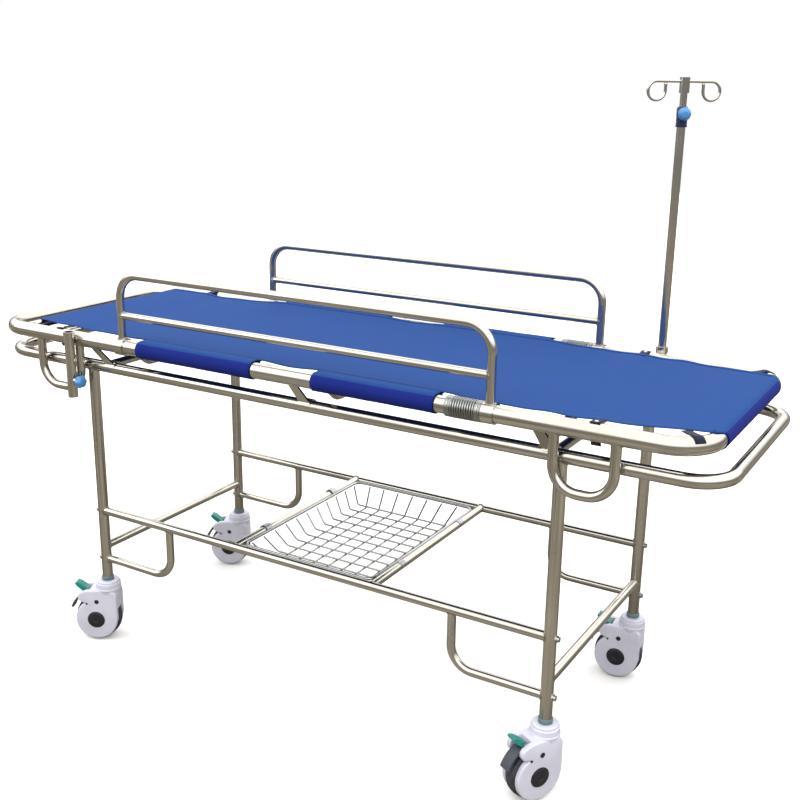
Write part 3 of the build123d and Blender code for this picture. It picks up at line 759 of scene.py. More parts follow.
def slab(
    shape: bmesh.types.BMesh,
    outline: list[tuple[float, float]],
    low: float,
    high: float,
    round_low: float = 0.0,
    round_high: float = 0.0,
    segments: int = 3,
) -> list[bmesh.types.BMVert]:
    """A flat plate cut to an outline in X and Z, from one Y to another, with its rims rounded.

    Args:
        shape: the bmesh that takes the plate.
        outline: corner points as X and Z.
        low: the lower Y.
        high: the higher Y.
        round_low: rounding of the rim at the lower Y.
        round_high: rounding of the rim at the higher Y.
        segments: faces across each rounding.

    Returns:
        The new vertices.
    """
    before = set(shape.verts)
    loop = [shape.verts.new((x, low, z)) for x, z in outline]
    plate = shape.faces.new(loop)
    raised = bmesh.ops.extrude_face_region(shape, geom=[plate], use_keep_orig=True)["geom"]
    bmesh.ops.translate(shape, verts=verts_of(raised), vec=(0, high - low, 0))
    fresh = [vert for vert in shape.verts if vert not in before]
    bmesh.ops.recalc_face_normals(shape, faces=list({face for vert in fresh for face in vert.link_faces}))
    for y, amount in ((low, round_low), (high, round_high)):
        if amount:
            rim = [
                edge
                for edge in shape.edges
                if edge.verts[0] not in before and all(abs(vert.co.y - y) < 1e-7 for vert in edge.verts)
            ]
            bmesh.ops.bevel(
                shape, geom=rim, offset=amount, segments=segments, profile=0.5, affect="EDGES",
                clamp_overlap=True, material=-1,
            )
    return [vert for vert in shape.verts if vert not in before]


def arc(centre: tuple[float, float], radius: float, start: float, stop: float, steps: int) -> list:
    """Points on an arc, in degrees.

    Args:
        centre: centre of the arc.
        radius: its radius.
        start: angle of its first point.
        stop: angle of its last point.
        steps: runs between the points.

    Returns:
        The points.
    """
    angles = [math.radians(start + (stop - start) * k / steps) for k in range(steps + 1)]
    return [(centre[0] + radius * math.cos(a), centre[1] + radius * math.sin(a)) for a in angles]


@dataclass
class Workshop:
    """Turns finished bmesh shapes into pieces that ride on a body."""

    paint: Paintshop

    def finish_piece(
        self,
        shape: bmesh.types.BMesh,
        name: str,
        body: str,
        finish: Finish,
        crease: float = 32.0,
        replaces: tuple[str, ...] = (),
        slot: str = "",
        closed: bool = True,
    ) -> bpy.types.Object:
        """Makes an object of a shape.

        Args:
            shape: the bmesh, which is freed.
            name: name of the piece.
            body: the CAD body that it rides on.
            finish: what it is finished in.
            crease: angle in degrees above which an edge stays sharp.
            replaces: CAD nodes that it stands for.
            slot: not used.
            closed: whether it is a closed shell, whose faces are turned outwards.

        Returns:
            The new object.
        """
        if closed:
            bmesh.ops.recalc_face_normals(shape, faces=list(shape.faces))
        mesh = bpy.data.meshes.new(name)
        shape.to_mesh(mesh)
        shape.free()
        piece = bpy.data.objects.new(name, mesh)
        bpy.context.scene.collection.objects.link(piece)
        mesh.polygons.foreach_set("use_smooth", [True] * len(mesh.polygons))
        mesh.set_sharp_from_angle(angle=math.radians(crease))
        mesh.materials.append(self.paint.material(finish))
        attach(piece, body)
        if replaces:
            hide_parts(*replaces)
        LOG.info("%s: %d faces on %s", name, len(mesh.polygons), body)
        return piece


def set_uv(shape: bmesh.types.BMesh, where: object) -> None:
    """Fills the UV map of a shape, in metres, from a function of a vertex's position.

    Args:
        shape: the bmesh to map.
        where: gives U and V from a position.
    """
    layer = shape.loops.layers.uv.verify()
    for face in shape.faces:
        for loop in face.loops:
            loop[layer].uv = where(loop.vert.co)


# ---------------------------------------------------------------------------------------------
# Welds
# ---------------------------------------------------------------------------------------------
@dataclass(frozen=True)
class Weld:
    """A bead round the end of a tube where it meets another tube.

    The bead is a ring about the tube's axis, sagged over the round of the tube that it lands on.
    """

    at: tuple[float, float, float]
    axis: tuple[float, float, float]
    radius: float
    onto: float
    along: tuple[float, float, float]
    thickness: float = 0.0017

    def add_to(self, shape: bmesh.types.BMesh) -> None:
        """Adds the bead's ring to a shape.

        Args:
            shape: the bmesh that takes the bead.
        """
        place = facing(Vector(self.at), Vector(self.axis), Vector(self.along))
        ring = arc((self.radius + self.thickness * 0.35, self.onto), self.thickness, 0, 360, 7)
        fresh = turn_profile(shape, ring, steps=40)
        for vert in fresh:
            reach = min(abs(vert.co.y), self.onto * 0.98)
            vert.co.z -= self.onto - math.sqrt(self.onto**2 - reach**2)
            ripple = 1 + 0.012 * math.sin(math.atan2(vert.co.y, vert.co.x) * 22)
            vert.co.x *= ripple
            vert.co.y *= ripple
        bmesh.ops.transform(shape, matrix=place, verts=fresh)


def joint_beads(beads: list[Weld]) -> bmesh.types.BMesh:
    """One shape that holds all of the given beads.

    Args:
        beads: the beads to make.

    Returns:
        The shape.
    """
    shape = bmesh.new()
    for bead in beads:
        bead.add_to(shape)
    return shape


# ---------------------------------------------------------------------------------------------
# Trolley
# ---------------------------------------------------------------------------------------------
@dataclass
class TrolleyFrame:
    """The welded tube trolley: legs, rails, bows, bolts and the trim on them."""

    shop: Workshop
    tube_nodes: tuple[str, ...] = (
        "leg_near_head", "leg_near_foot", "leg_far_head", "leg_far_foot", "top_rails", "push_bows",
        "lower_rails", "end_bars", "basket_bars", "top_bars", "brace_bows",
    )
    bright_nodes: tuple[str, ...] = ("frame_bolts", "caster_stems")
    brace_x: float = 0.415
    brace_r: float = 0.010
    brace_low_z: float = 0.236
    end_bar_z: float = 0.272
    ring_height: float = 0.007
    ring_lap: float = 0.003
    ring_t: float = 0.0022

    def dress(self) -> None:
        """Finishes the carried CAD nodes."""
        for node in self.tube_nodes:
            self.shop.paint.dress_node(node, STAINLESS)
        for node in self.bright_nodes:
            self.shop.paint.dress_node(node, BRIGHT)

    def weld_beads(self) -> bpy.types.Object:
        """Beads at every tube joint of the trolley.

        Returns:
            The beads, as one piece.
        """
        beads = []
        for side in Side:
            y = side.value * LEG_Y
            for end in (-1, 1):
                x = end * LEG_X
                down, inward, across = (0, 0, -1), (-end, 0, 0), (0, -side.value, 0)
                brace_top, bar_end = (end * self.brace_x, y, LOW_RAIL_Z), (end * BASKET_BAR_X, y, LOW_RAIL_Z)
                beads += [
                    Weld((x, y, TOP_RAIL_Z), down, LEG_R, TOP_RAIL_R, (1, 0, 0)),
                    Weld((x, y, LOW_RAIL_Z), inward, LOW_RAIL_R, LEG_R, (0, 0, 1)),
                    Weld((x, y, self.end_bar_z), across, LOW_RAIL_R, LEG_R, (0, 0, 1)),
                    Weld(brace_top, down, self.brace_r, LOW_RAIL_R, (1, 0, 0)),
                    Weld((x, y, self.brace_low_z), inward, self.brace_r, LEG_R, (0, 0, 1)),
                    Weld(bar_end, across, BASKET_BAR_R, LOW_RAIL_R, (1, 0, 0)),
                ]
        return self.shop.finish_piece(joint_beads(beads), "trolley_weld_beads", "trolley", WELD, crease=60)

    def leg_rings(self) -> bpy.types.Object:
        """Moulded rings round the bottom of the legs, over the caster flanges.

        Returns:
            The four rings, as one piece.
        """
        shape = bmesh.new()
        low, top = LEG_BOTTOM - self.ring_lap, LEG_BOTTOM + self.ring_height
        inner, outer = LEG_R + 0.0002, LEG_R + self.ring_t
        profile = eased(
            [(inner, low), (outer, low), (outer, top - 0.002), (LEG_R + 0.0008, top), (inner, top),
             (inner, low)], 0.0008,
        )
        for side in Side:
            for end in (-1, 1):
                place = Matrix.Translation((end * LEG_X, side.value * LEG_Y, 0))
                turn_profile(shape, profile, place)
        return self.shop.finish_piece(shape, "leg_rings", "trolley", LEG_RING)

    def build(self) -> None:
        """Makes and dresses the whole trolley."""
        self.dress()
        self.weld_beads()
        self.leg_rings()


# ---------------------------------------------------------------------------------------------
# Wire basket
# ---------------------------------------------------------------------------------------------
@dataclass
class Basket:
    """The lift-out tray of round wire, hooked over the two basket bars."""

    shop: Workshop
    rim_x: float = 0.188
    rim_y: float = 0.262
    rim_z: float = 0.378
    rim_r: float = 0.0038
    wire_r: float = 0.0023
    floor_x: float = 0.153
    floor_y: float = 0.211
    floor_z: float = 0.3325
    pitch: float = 0.0420
    corner: float = 0.022
    wire_bend: float = 0.012
    wire_end: float = 0.006
    flare: float = 1.12
    hook_ys: tuple[float, float] = (-0.15, 0.15)
    hook_width: float = 0.02
    hook_gap: float = 0.0018
    hook_t: float = 0.0024

    def rim(self) -> bpy.types.Object:
        """The rim: one bent rod with a hook at each end, and the hooks that lap over the bars.

        Returns:
            The rim.
        """
        shape = bmesh.new()
        x, y, z = self.rim_x, self.rim_y, self.rim_z
        loop = [(0, -y, z), (x, -y, z), (x, y, z), (-x, y, z), (-x, -y, z), (0, -y, z)]
        bend_rod(shape, loop, self.corner, self.rim_r, sides=14, steps=7)
        reach = BASKET_BAR_R + self.hook_gap
        for end in (-1, 1):
            for hook_y in self.hook_ys:
                curl = arc((end * BASKET_BAR_X, LOW_RAIL_Z), reach, 90 - end * 88, 90 + end * 88, 12)
                strip, lines = draw_line(shape, [(px, hook_y - self.hook_width / 2, pz) for px, pz in curl])
                run_straight(shape, lines, Vector((0, self.hook_width, 0)))
                plate = list({face for vert in strip for face in vert.link_faces})
                bmesh.ops.solidify(shape, geom=plate, thickness=self.hook_t)
        return self.shop.finish_piece(
            shape, "basket_rim_rods", "basket", WIRE, replaces=("basket_rim",), slot="basket_wire"
        )

    def cross_wires(self) -> bpy.types.Object:
        """The tray of wires bent up at both ends, one set laid on the other.

        Returns:
            The wires, as one piece.
        """
        shape = bmesh.new()
        rise = self.rim_z - self.rim_r
        for axis, half, other, lift in (
            ("x", self.floor_x, self.floor_y, 0.0),
            ("y", self.floor_y, self.floor_x, self.wire_r * 1.8),
        ):
            rim_half = self.rim_x if axis == "x" else self.rim_y
            count = int(other // self.pitch)
            for k in range(-count, count + 1):
                across = k * self.pitch
                spread = across * self.flare
                low = self.floor_z - lift
                reach = rim_half - self.wire_end
                profile = [(-reach, spread, rise), (-half, across, low), (half, across, low),
                           (reach, spread, rise)]
                route = [(a, b, c) if axis == "x" else (b, a, c) for a, b, c in profile]
                bend_rod(shape, route, self.wire_bend, self.wire_r, sides=8, steps=4)
        return self.shop.finish_piece(
            shape, "basket_wires", "basket", WIRE, replaces=("basket_grille",), slot="basket_wire", crease=50
        )

    def build(self) -> None:
        """Makes the whole basket."""
        self.rim()
        self.cross_wires()


# ---------------------------------------------------------------------------------------------
# Stretcher frame and canvas
# ---------------------------------------------------------------------------------------------
@dataclass
class StretcherFrame:
    """The stretcher's loop, cross bars, feet, saddles and pole sockets."""

    shop: Workshop
    tube_nodes: tuple[str, ...] = (
        "side_tube_near", "side_tube_far", "head_bow", "foot_bow", "deck_cross_bars", "ground_feet",
        "saddle_brackets", "pole_sockets",
    )
    foot_xs: tuple[float, ...] = (-0.805, -0.666, 0.643, 0.772)
    foot_r: float = 0.011
    cross_bar_xs: tuple[float, ...] = (-0.490, 0.085, 0.596)
    cross_bar_r: float = 0.0095
    tension_bar_r: float = 0.010
    tension_bar_rise: float = 0.004
    screw_x: float = -0.062

    def dress(self) -> None:
        """Finishes the carried CAD nodes."""
        for node in self.tube_nodes:
            self.shop.paint.dress_node(node, STAINLESS)

    def weld_beads(self) -> bpy.types.Object:
        """Beads where feet, cross bars and the tension bar meet the side tubes.

        Returns:
            The beads, as one piece.
        """
        beads = []
        for side in Side:
            way, y = side.value, side.value * SIDE_TUBE_Y
            for x in self.foot_xs:
                splayed = (0, way * 0.06, -1)
                beads.append(Weld((x, y, SIDE_TUBE_Z), splayed, self.foot_r, SIDE_TUBE_R, (1, 0, 0)))
            for x in self.cross_bar_xs:
                slanted = (0, -way * 0.78, -0.62)
                beads.append(Weld((x, y, SIDE_TUBE_Z), slanted, self.cross_bar_r, SIDE_TUBE_R, (1, 0, 0)))
            end = (TENSION_BAR_X, y, SIDE_TUBE_Z + self.tension_bar_rise)
            beads.append(Weld(end, (0, -way, 0.2), self.tension_bar_r, SIDE_TUBE_R, (1, 0, 0)))
        shape = joint_beads(beads)
        return self.shop.finish_piece(shape, "stretcher_weld_beads", "stretcher", WELD, crease=60)

    def grip_screws(self) -> bpy.types.Object:
        """A domed screw with a round recess on top of each side tube, where the canvas leaves a grip.

        Returns:
            The screws, as one piece.
        """
        shape = bmesh.new()
        for side in Side:
            top = SIDE_TUBE_Z + SIDE_TUBE_R - 0.0004
            dome = [(0.0, 0.0014), (0.0012, 0.0014), (0.0014, 0.0026), (0.0036, 0.0020), (0.0050, 0.0004),
                    (0.0050, -0.001), (0.0, -0.001)]
            place = Matrix.Translation((self.screw_x, side.value * SIDE_TUBE_Y, top))
            turn_profile(shape, dome, place, steps=24)
        return self.shop.finish_piece(shape, "grip_screws", "stretcher", BRIGHT)

    def build(self) -> None:
        """Makes and dresses the stretcher's metal."""
        self.dress()
        self.weld_beads()
        self.grip_screws()


@dataclass
class CanvasDeck:
    """The stretched canvas: panel with end wraps, side sleeves, hems, stitching and straps."""

    shop: Workshop
    head_x: float = TENSION_BAR_X
    foot_x: float = 0.940
    bar_z: float = 0.861
    bar_r: float = 0.0103
    tube_r: float = 0.0193
    cloth: float = 0.0022
    edge: tuple[tuple[float, float], ...] = (
        (-0.859, 0.262), (-0.78, 0.269), (-0.68, 0.267), (-0.58, 0.270), (-0.50, 0.281), (-0.457, 0.286),
        (0.377, 0.286), (0.52, 0.286), (0.64, 0.284), (0.72, 0.279), (0.80, 0.268), (0.90, 0.251),
        (0.94, 0.245),
    )
    half_mid: float = 0.286
    wrap_half: float = 0.222
    head_wrap: float = 262
    foot_wrap: float = 236
    sleeve_spans: tuple[tuple[float, float], ...] = ((-0.457, -0.105), (0.066, 0.377))
    sleeve_steps: int = 36
    sag: float = 0.007
    edge_sag: float = 0.0045
    ripple: float = 0.0011
    swell: float = 0.0008
    drag: float = 0.0016
    drag_reach: float = 0.07
    drag_waves: float = 42
    stitch_insets: tuple[float, float] = (0.004, 0.011)
    stitch_pitch: float = 0.0075
    stitch_length: float = 0.0046
    thread_r: float = 0.00045
    strap_places: tuple[tuple[float, int], ...] = ((-0.735, -1), (-0.735, 1), (0.725, -1), (0.621, 1))
    bend_centre: tuple[float, float] = (0.855, 0.223)
    bend_r: float = 0.085
    strap_width: float = 0.021
    strap_tuck: float = 0.02
    inner_wrap: float = 160
    corner_reach: float = 0.042
    corner_wrap: float = 60
    stud_inset: float = 0.006

    @property
    def top_z(self) -> float:
        """Height of the canvas's underside where it lies over the end tubes."""
        return SIDE_TUBE_Z + self.tube_r

    def half_width(self, x: float) -> float:
        """Half the canvas's width at a place along it, eased between the measured points of its edge.

        Args:
            x: place along the canvas.

        Returns:
            Half the width there.
        """
        for (x0, half0), (x1, half1) in zip(self.edge, self.edge[1:]):
            if x <= x1:
                t = max(0.0, (x - x0) / (x1 - x0))
                t = t * 0.5 + 0.5 * t * t * (3 - 2 * t)
                return half0 + (half1 - half0) * t
        return self.edge[-1][1]

    def droop(self, x: float, y: float) -> float:
        """How far the canvas hangs below its pinned edges, with soft drag lines from the straps.

        Args:
            x: place along the canvas.
            y: place across it.

        Returns:
            The drop below the pinned height.
        """
        t = (x - self.head_x) / (self.foot_x - self.head_x)
        ends = min(1.0, 9 * t, 9 * (1 - t))
        ends = ends * ends * (3 - 2 * ends)
        v = min(1.0, abs(y) / self.half_width(x))
        held = self.held_share(x)
        middle_sag = self.sag * (1 - v * v)
        edge_sag = self.edge_sag * (1 - held) * v**3
        sway = 5.0 * noise.noise(Vector((x * 1.3, y * 2.0, 0.4)))
        ripple = self.ripple * noise.noise(Vector((x * 2.1, y * 9.0, 3.7)))
        ripple += self.swell * math.sin(x * 7.0 + sway) * (1 - v)
        drag = 0.0
        for pin, _ in self.strap_places:
            fade = math.exp(-(((x - pin) / self.drag_reach) ** 2))
            drag += self.drag * v**2 * math.cos((x - pin) * self.drag_waves) * fade
        return ends * (middle_sag + edge_sag + ripple - drag)

    def held_share(self, x: float) -> float:
        """1 where a sleeve holds the edge, falling to 0 away from it."""
        gaps = [max(first - x, x - last, 0.0) for first, last in self.sleeve_spans]
        return math.exp(-((min(gaps) / 0.05) ** 2))

    def panel(self) -> bpy.types.Object:
        """The lying surface, wrapped round the tension bar at the head and the end tube at the foot.

        Returns:
            The panel.
        """
        shape = bmesh.new()
        length, columns, rows = self.foot_x - self.head_x, 168, 46
        centre = Matrix.Translation(((self.head_x + self.foot_x) / 2, 0, 0))
        place = centre @ Matrix.Diagonal((length / 2, 1, 1, 1))
        bmesh.ops.create_grid(shape, x_segments=columns, y_segments=rows, size=1.0, matrix=place)
        layer = shape.verts.layers.float.new("travel")
        for vert in shape.verts:
            vert[layer] = vert.co.x
        self.wrap_end(shape, layer, self.head_x, (self.head_x, self.bar_z - self.top_z), self.bar_r, -1,
                      self.head_wrap)
        self.wrap_end(shape, layer, self.foot_x, (self.foot_x, -self.tube_r), self.tube_r, 1, self.foot_wrap)
        lift = self.top_z + self.cloth / 2
        for vert in shape.verts:
            x, across = vert.co.x, vert.co.y
            flat = self.head_x - TINY <= x <= self.foot_x + TINY and abs(vert.co.z) < TINY
            width = self.half_width(min(max(x, self.head_x), self.foot_x))
            if vert[layer] > self.foot_x + TINY:
                narrow = min(1.0, (vert[layer] - self.foot_x) / 0.018)
                width = width + (self.wrap_half - width) * narrow * narrow * (3 - 2 * narrow)
            vert.co.y = across * width
            vert.co.z += lift - (self.droop(x, vert.co.y) if flat else 0.0)
        uv = shape.loops.layers.uv.verify()
        for face in shape.faces:
            for loop in face.loops:
                loop[uv].uv = (loop.vert[layer], loop.vert.co.y)
        self.wrap_length = self.measure(shape, layer)
        piece = self.as_cloth(shape, "deck_cloth", CANVAS, ("deck_canvas",), "deck_canvas")
        self.paint_side_shade(piece)
        return piece

    def paint_side_shade(self, piece: bpy.types.Object) -> None:
        """Gives the faces that turn down over a tube, and those below the side tubes' centre height, a darker
        copy of the canvas as painted shade.

        Args:
            piece: the cloth.
        """
        piece.data.materials.append(self.shop.paint.material(SIDE_SHADE_CANVAS))
        # Painted shade: faces steeper than about 37 degrees, or below the side tubes' centre, take the darker
        # copy.
        for face in piece.data.polygons:
            face.material_index = int(abs(face.normal.z) < 0.80 or face.center.z < SIDE_TUBE_Z)

    def wrap_end(
        self,
        shape: bmesh.types.BMesh,
        layer: object,
        edge_x: float,
        centre: tuple[float, float],
        radius: float,
        way: int,
        degrees: float,
    ) -> None:
        """Carries one end of the grid round a tube.

        Args:
            shape: the grid, flat at height 0.
            layer: the vertex layer that holds the distance travelled along the cloth.
            edge_x: where the grid ends.
            centre: the tube's axis as X and height above the grid.
            radius: radius of the cloth's inside.
            way: 1 at the foot, -1 at the head.
            degrees: how far round the cloth goes.
        """
        edge = [
            line
            for line in shape.edges
            if all(abs(vert.co.x - edge_x) < TINY and abs(vert.co.z) < TINY for vert in line.verts)
        ]
        before = set(shape.verts)
        bmesh.ops.spin(
            shape,
            geom=edge + list({vert for line in edge for vert in line.verts}),
            cent=(centre[0], 0, centre[1] - self.cloth / 2),
            axis=(0, 1, 0),
            angle=way * math.radians(degrees),
            steps=18,
            use_merge=False,
            use_duplicate=False,
        )
        bmesh.ops.remove_doubles(shape, verts=shape.verts, dist=TINY)
        for vert in shape.verts:
            if vert in before:
                continue
            dx, dz = vert.co.x - centre[0], vert.co.z - (centre[1] - self.cloth / 2)
            angle = math.atan2(dx * way, dz) % (2 * math.pi)
            vert[layer] = edge_x + way * (radius + self.cloth / 2) * angle

    def measure(self, shape: bmesh.types.BMesh, layer: object) -> float:
        """Length of the cloth along the deck, end wraps included."""
        travelled = [vert[layer] for vert in shape.verts]
        return max(travelled) - min(travelled)

    def as_cloth(
        self, shape: bmesh.types.BMesh, name: str, finish: Finish, replaces: tuple[str, ...], slot: str
    ) -> bpy.types.Object:
        """Makes a sheet a piece with the cloth's thickness.

        Args:
            shape: the sheet, which is freed.
            name: name of the piece.
            finish: its cloth.
            replaces: CAD nodes that it stands for.
            slot: the record's material slot.

        Returns:
            The piece.
        """
        bmesh.ops.recalc_face_normals(shape, faces=list(shape.faces))
        piece = self.shop.finish_piece(
            shape, name, "stretcher", finish, crease=70, replaces=replaces, slot=slot, closed=False
        )
        thick = piece.modifiers.new("thickness", "SOLIDIFY")
        thick.thickness = self.cloth * 0.7
        thick.offset = 0.0
        return piece

    def sleeve_profile(self) -> list[tuple[float, float]]:
        """Outline of a sleeve in Y and Z, from the panel's edge over and round the far side tube.

        Returns:
            The outline, in order.
        """
        mean = self.tube_r + self.cloth * 0.5
        top = self.top_z + self.cloth / 2
        start = [(self.half_mid - 0.010, top - 0.0004), (self.half_mid, top - 0.0002),
                 (self.half_mid + 0.010, top)]
        round_tube = arc((SIDE_TUBE_Y, SIDE_TUBE_Z), mean, 92, -150, 26)
        tail = [(SIDE_TUBE_Y - 0.021, SIDE_TUBE_Z + 0.004), (self.half_mid - 0.002, top - 0.0052),
                (self.half_mid - 0.010, top - 0.0036)]
        return start + round_tube + tail

    def sleeves(self) -> list[bpy.types.Object]:
        """The pockets that hold the side tubes: two on each side.

        Returns:
            The four pockets.
        """
        made = []
        profile = self.sleeve_profile()
        runs = [0.0]
        for before, after in zip(profile, profile[1:]):
            runs.append(runs[-1] + math.dist(before, after))
        for side in Side:
            for number, (first, last) in enumerate(self.sleeve_spans):
                shape = bmesh.new()
                travel = shape.verts.layers.float.new("travel")
                line, section = draw_line(shape, [(first, y * side.value, z) for y, z in profile])
                for vert, run in zip(line, runs):
                    vert[travel] = run
                for _ in range(self.sleeve_steps):
                    section = run_straight(shape, section, Vector(((last - first) / self.sleeve_steps, 0, 0)))
                uv = shape.loops.layers.uv.verify()
                for face in shape.faces:
                    for loop in face.loops:
                        loop[uv].uv = (loop.vert.co.x, loop.vert[travel])
                self.ruck(shape, side, first, last)
                name = f"deck_sleeve_{side.word}_{'head' if number == 0 else 'foot'}"
                nodes = ("canvas_sleeves",) if not made else ()
                piece = self.as_cloth(shape, name, CANVAS, nodes, "sleeve_canvas")
                self.paint_side_shade(piece)
                made.append(piece)
        return made

    def ruck(self, shape: bmesh.types.BMesh, side: Side, first: float, last: float) -> None:
        """Lets the pocket stand off its tube in soft rucks that die out along it.

        Args:
            shape: the pocket.
            side: the side that it is on.
            first: where it starts along the tube.
            last: where it ends.
        """
        for vert in shape.verts:
            out = Vector((0, vert.co.y - side.value * SIDE_TUBE_Y, vert.co.z - SIDE_TUBE_Z))
            if out.length > self.tube_r + 0.006 or out.length < TINY:
                continue
            end = min(vert.co.x - first, last - vert.co.x) / 0.03
            wave = 0.5 + 0.5 * noise.noise(Vector((vert.co.x * 26, out.y * 60, out.z * 60 + side.value)))
            loose = 0.0010 * wave + 0.0005 * max(0.0, 1 - end)
            vert.co += out.normalized() * loose

    def stitching(self) -> bpy.types.Object:
        """Lockstitch rows along both long edges of the canvas, over the sleeves and the free edges.

        Returns:
            All the stitches, as one piece.
        """
        shape = bmesh.new()
        for side in Side:
            for inset in self.stitch_insets:
                x = self.head_x + 0.02
                while x < self.foot_x - 0.02:
                    y = side.value * (self.half_width(x) - inset)
                    z = self.top_z + self.cloth * 1.06 - self.droop(x, y)
                    place = facing(Vector((x, y, z)), Vector((1, 0, 0)))
                    add_pin(shape, place, self.thread_r, self.stitch_length, 6)
                    x += self.stitch_pitch
        return self.shop.finish_piece(shape, "deck_stitching", "stretcher", THREAD, crease=60)

    def hems(self) -> bpy.types.Object:
        """The turned-under hems, one cloth thicker than the panel, along both long edges.

        Returns:
            Both hems, as one piece.
        """
        shape = bmesh.new()
        width, fold, steps = 0.014, 0.0024, 150
        start, length = self.head_x + 0.004, self.foot_x - self.head_x - 0.008
        flat = [(width, 0.0), (0.001, 0.0), (-0.0008, fold / 2), (0.001, fold), (width, fold)]
        for side in Side:
            _, section = draw_line(shape, [(start, side.value * -inward, -drop) for inward, drop in flat])
            for _ in range(steps):
                section = run_straight(shape, section, Vector((length / steps, 0, 0)))
            for vert in shape.verts:
                if abs(vert.co.y) < 2 * width:
                    vert.co.y += side.value * self.half_width(vert.co.x)
                    vert.co.z += self.top_z + self.cloth * 0.98 - self.droop(vert.co.x, vert.co.y)
        set_uv(shape, lambda co: (co.x, co.y))
        return self.as_cloth(shape, "deck_hems", CANVAS, (), "deck_canvas")

    def straps(self) -> None:
        """The webbing tabs that draw the canvas's free edges to the tubes, those along the sides each held by
        a press stud, and a tab at each foot corner.
        """
        webs = bmesh.new()
        studs = bmesh.new()
        for x, way in self.strap_places:
            inner = SIDE_TUBE_Y - self.half_width(x)
            place = Matrix.Translation((x, way * SIDE_TUBE_Y, 0)) @ turned(90 * way)
            self.tab(webs, place, inner + self.strap_tuck, -self.inner_wrap)
            self.stud(studs, place, -self.stud_inset)
        for way in (-1, 1):
            centre = Matrix.Translation((self.bend_centre[0], way * self.bend_centre[1], 0))
            place = centre @ turned(45 * way) @ Matrix.Translation((self.bend_r, 0, 0))
            self.tab(webs, place, self.corner_reach, self.corner_wrap)
        set_uv(webs, lambda co: (co.x, co.y + co.z))
        web = self.shop.finish_piece(
            webs, "strap_webbing", "stretcher", WEBBING, crease=60, replaces=("deck_straps",), slot="webbing",
            closed=False,
        )
        thick = web.modifiers.new("thickness", "SOLIDIFY")
        thick.thickness = 0.0014
        thick.offset = 0.0
        self.shop.finish_piece(studs, "strap_studs", "stretcher", STUD, crease=40)

    def tab(self, shape: bmesh.types.BMesh, place: Matrix, reach: float, wrap: float) -> None:
        """One strap, drawn with X pointing out from the deck across its tube.

        Args:
            shape: the bmesh that takes the strap.
            place: where the tube's centre line is, with X pointing outwards.
            reach: how far the strap goes in under the canvas.
            wrap: degrees that it goes over the tube: outwards if positive, back round the inside if negative.
        """
        mean = SIDE_TUBE_R + 0.0010
        tongue = [(-reach, self.top_z - 0.0022), (-reach * 0.5, self.top_z - 0.0016)]
        if wrap > 0:
            outline = tongue + arc((0, SIDE_TUBE_Z), mean, 100, 90 - wrap, 12)
        else:
            outline = tongue + arc((0, SIDE_TUBE_Z), mean + 0.0006, 100, 76, 4)
            under = arc((0, SIDE_TUBE_Z), mean, 120, 90 - wrap, 14)
            self.sweep_tab(shape, under + [(-0.012, SIDE_TUBE_Z - 0.031)], place)
        self.sweep_tab(shape, outline, place)

    def sweep_tab(self, shape: bmesh.types.BMesh, outline: list, place: Matrix) -> None:
        """Draws a strap's outline out to the strap's width.

        Args:
            shape: the bmesh that takes the strap.
            outline: the strap's line, as distance outwards and height.
            place: where the tube's centre line is.
        """
        before = set(shape.verts)
        _, section = draw_line(shape, [(x, -self.strap_width / 2, z) for x, z in outline])
        for _ in range(3):
            section = run_straight(shape, section, Vector((0, self.strap_width / 3, 0)))
        fresh = [vert for vert in shape.verts if vert not in before]
        bmesh.ops.transform(shape, matrix=place, verts=fresh)

    def stud(self, shape: bmesh.types.BMesh, place: Matrix, x: float) -> None:
        """The domed press stud that holds a strap on top of its tube.

        Args:
            shape: the bmesh that takes the stud.
            place: where the tube's centre line is.
            x: how far out from it the stud sits.
        """
        cap = [(0.0, 0.0022), (0.0022, 0.0020), (0.0040, 0.0010), (0.0044, 0.0), (0.0044, -0.001),
               (0.0, -0.001)]
        seat = Matrix.Translation((x, 0, SIDE_TUBE_Z + SIDE_TUBE_R + 0.0012))
        turn_profile(shape, cap, place @ seat, steps=20)

    def build(self) -> None:
        """Makes the whole canvas deck."""
        panel = self.panel()
        sleeves = self.sleeves()
        hems = self.hems()
        stitches = self.stitching()
        self.straps()
        LOG.info("canvas deck: %d sleeves", len(sleeves))


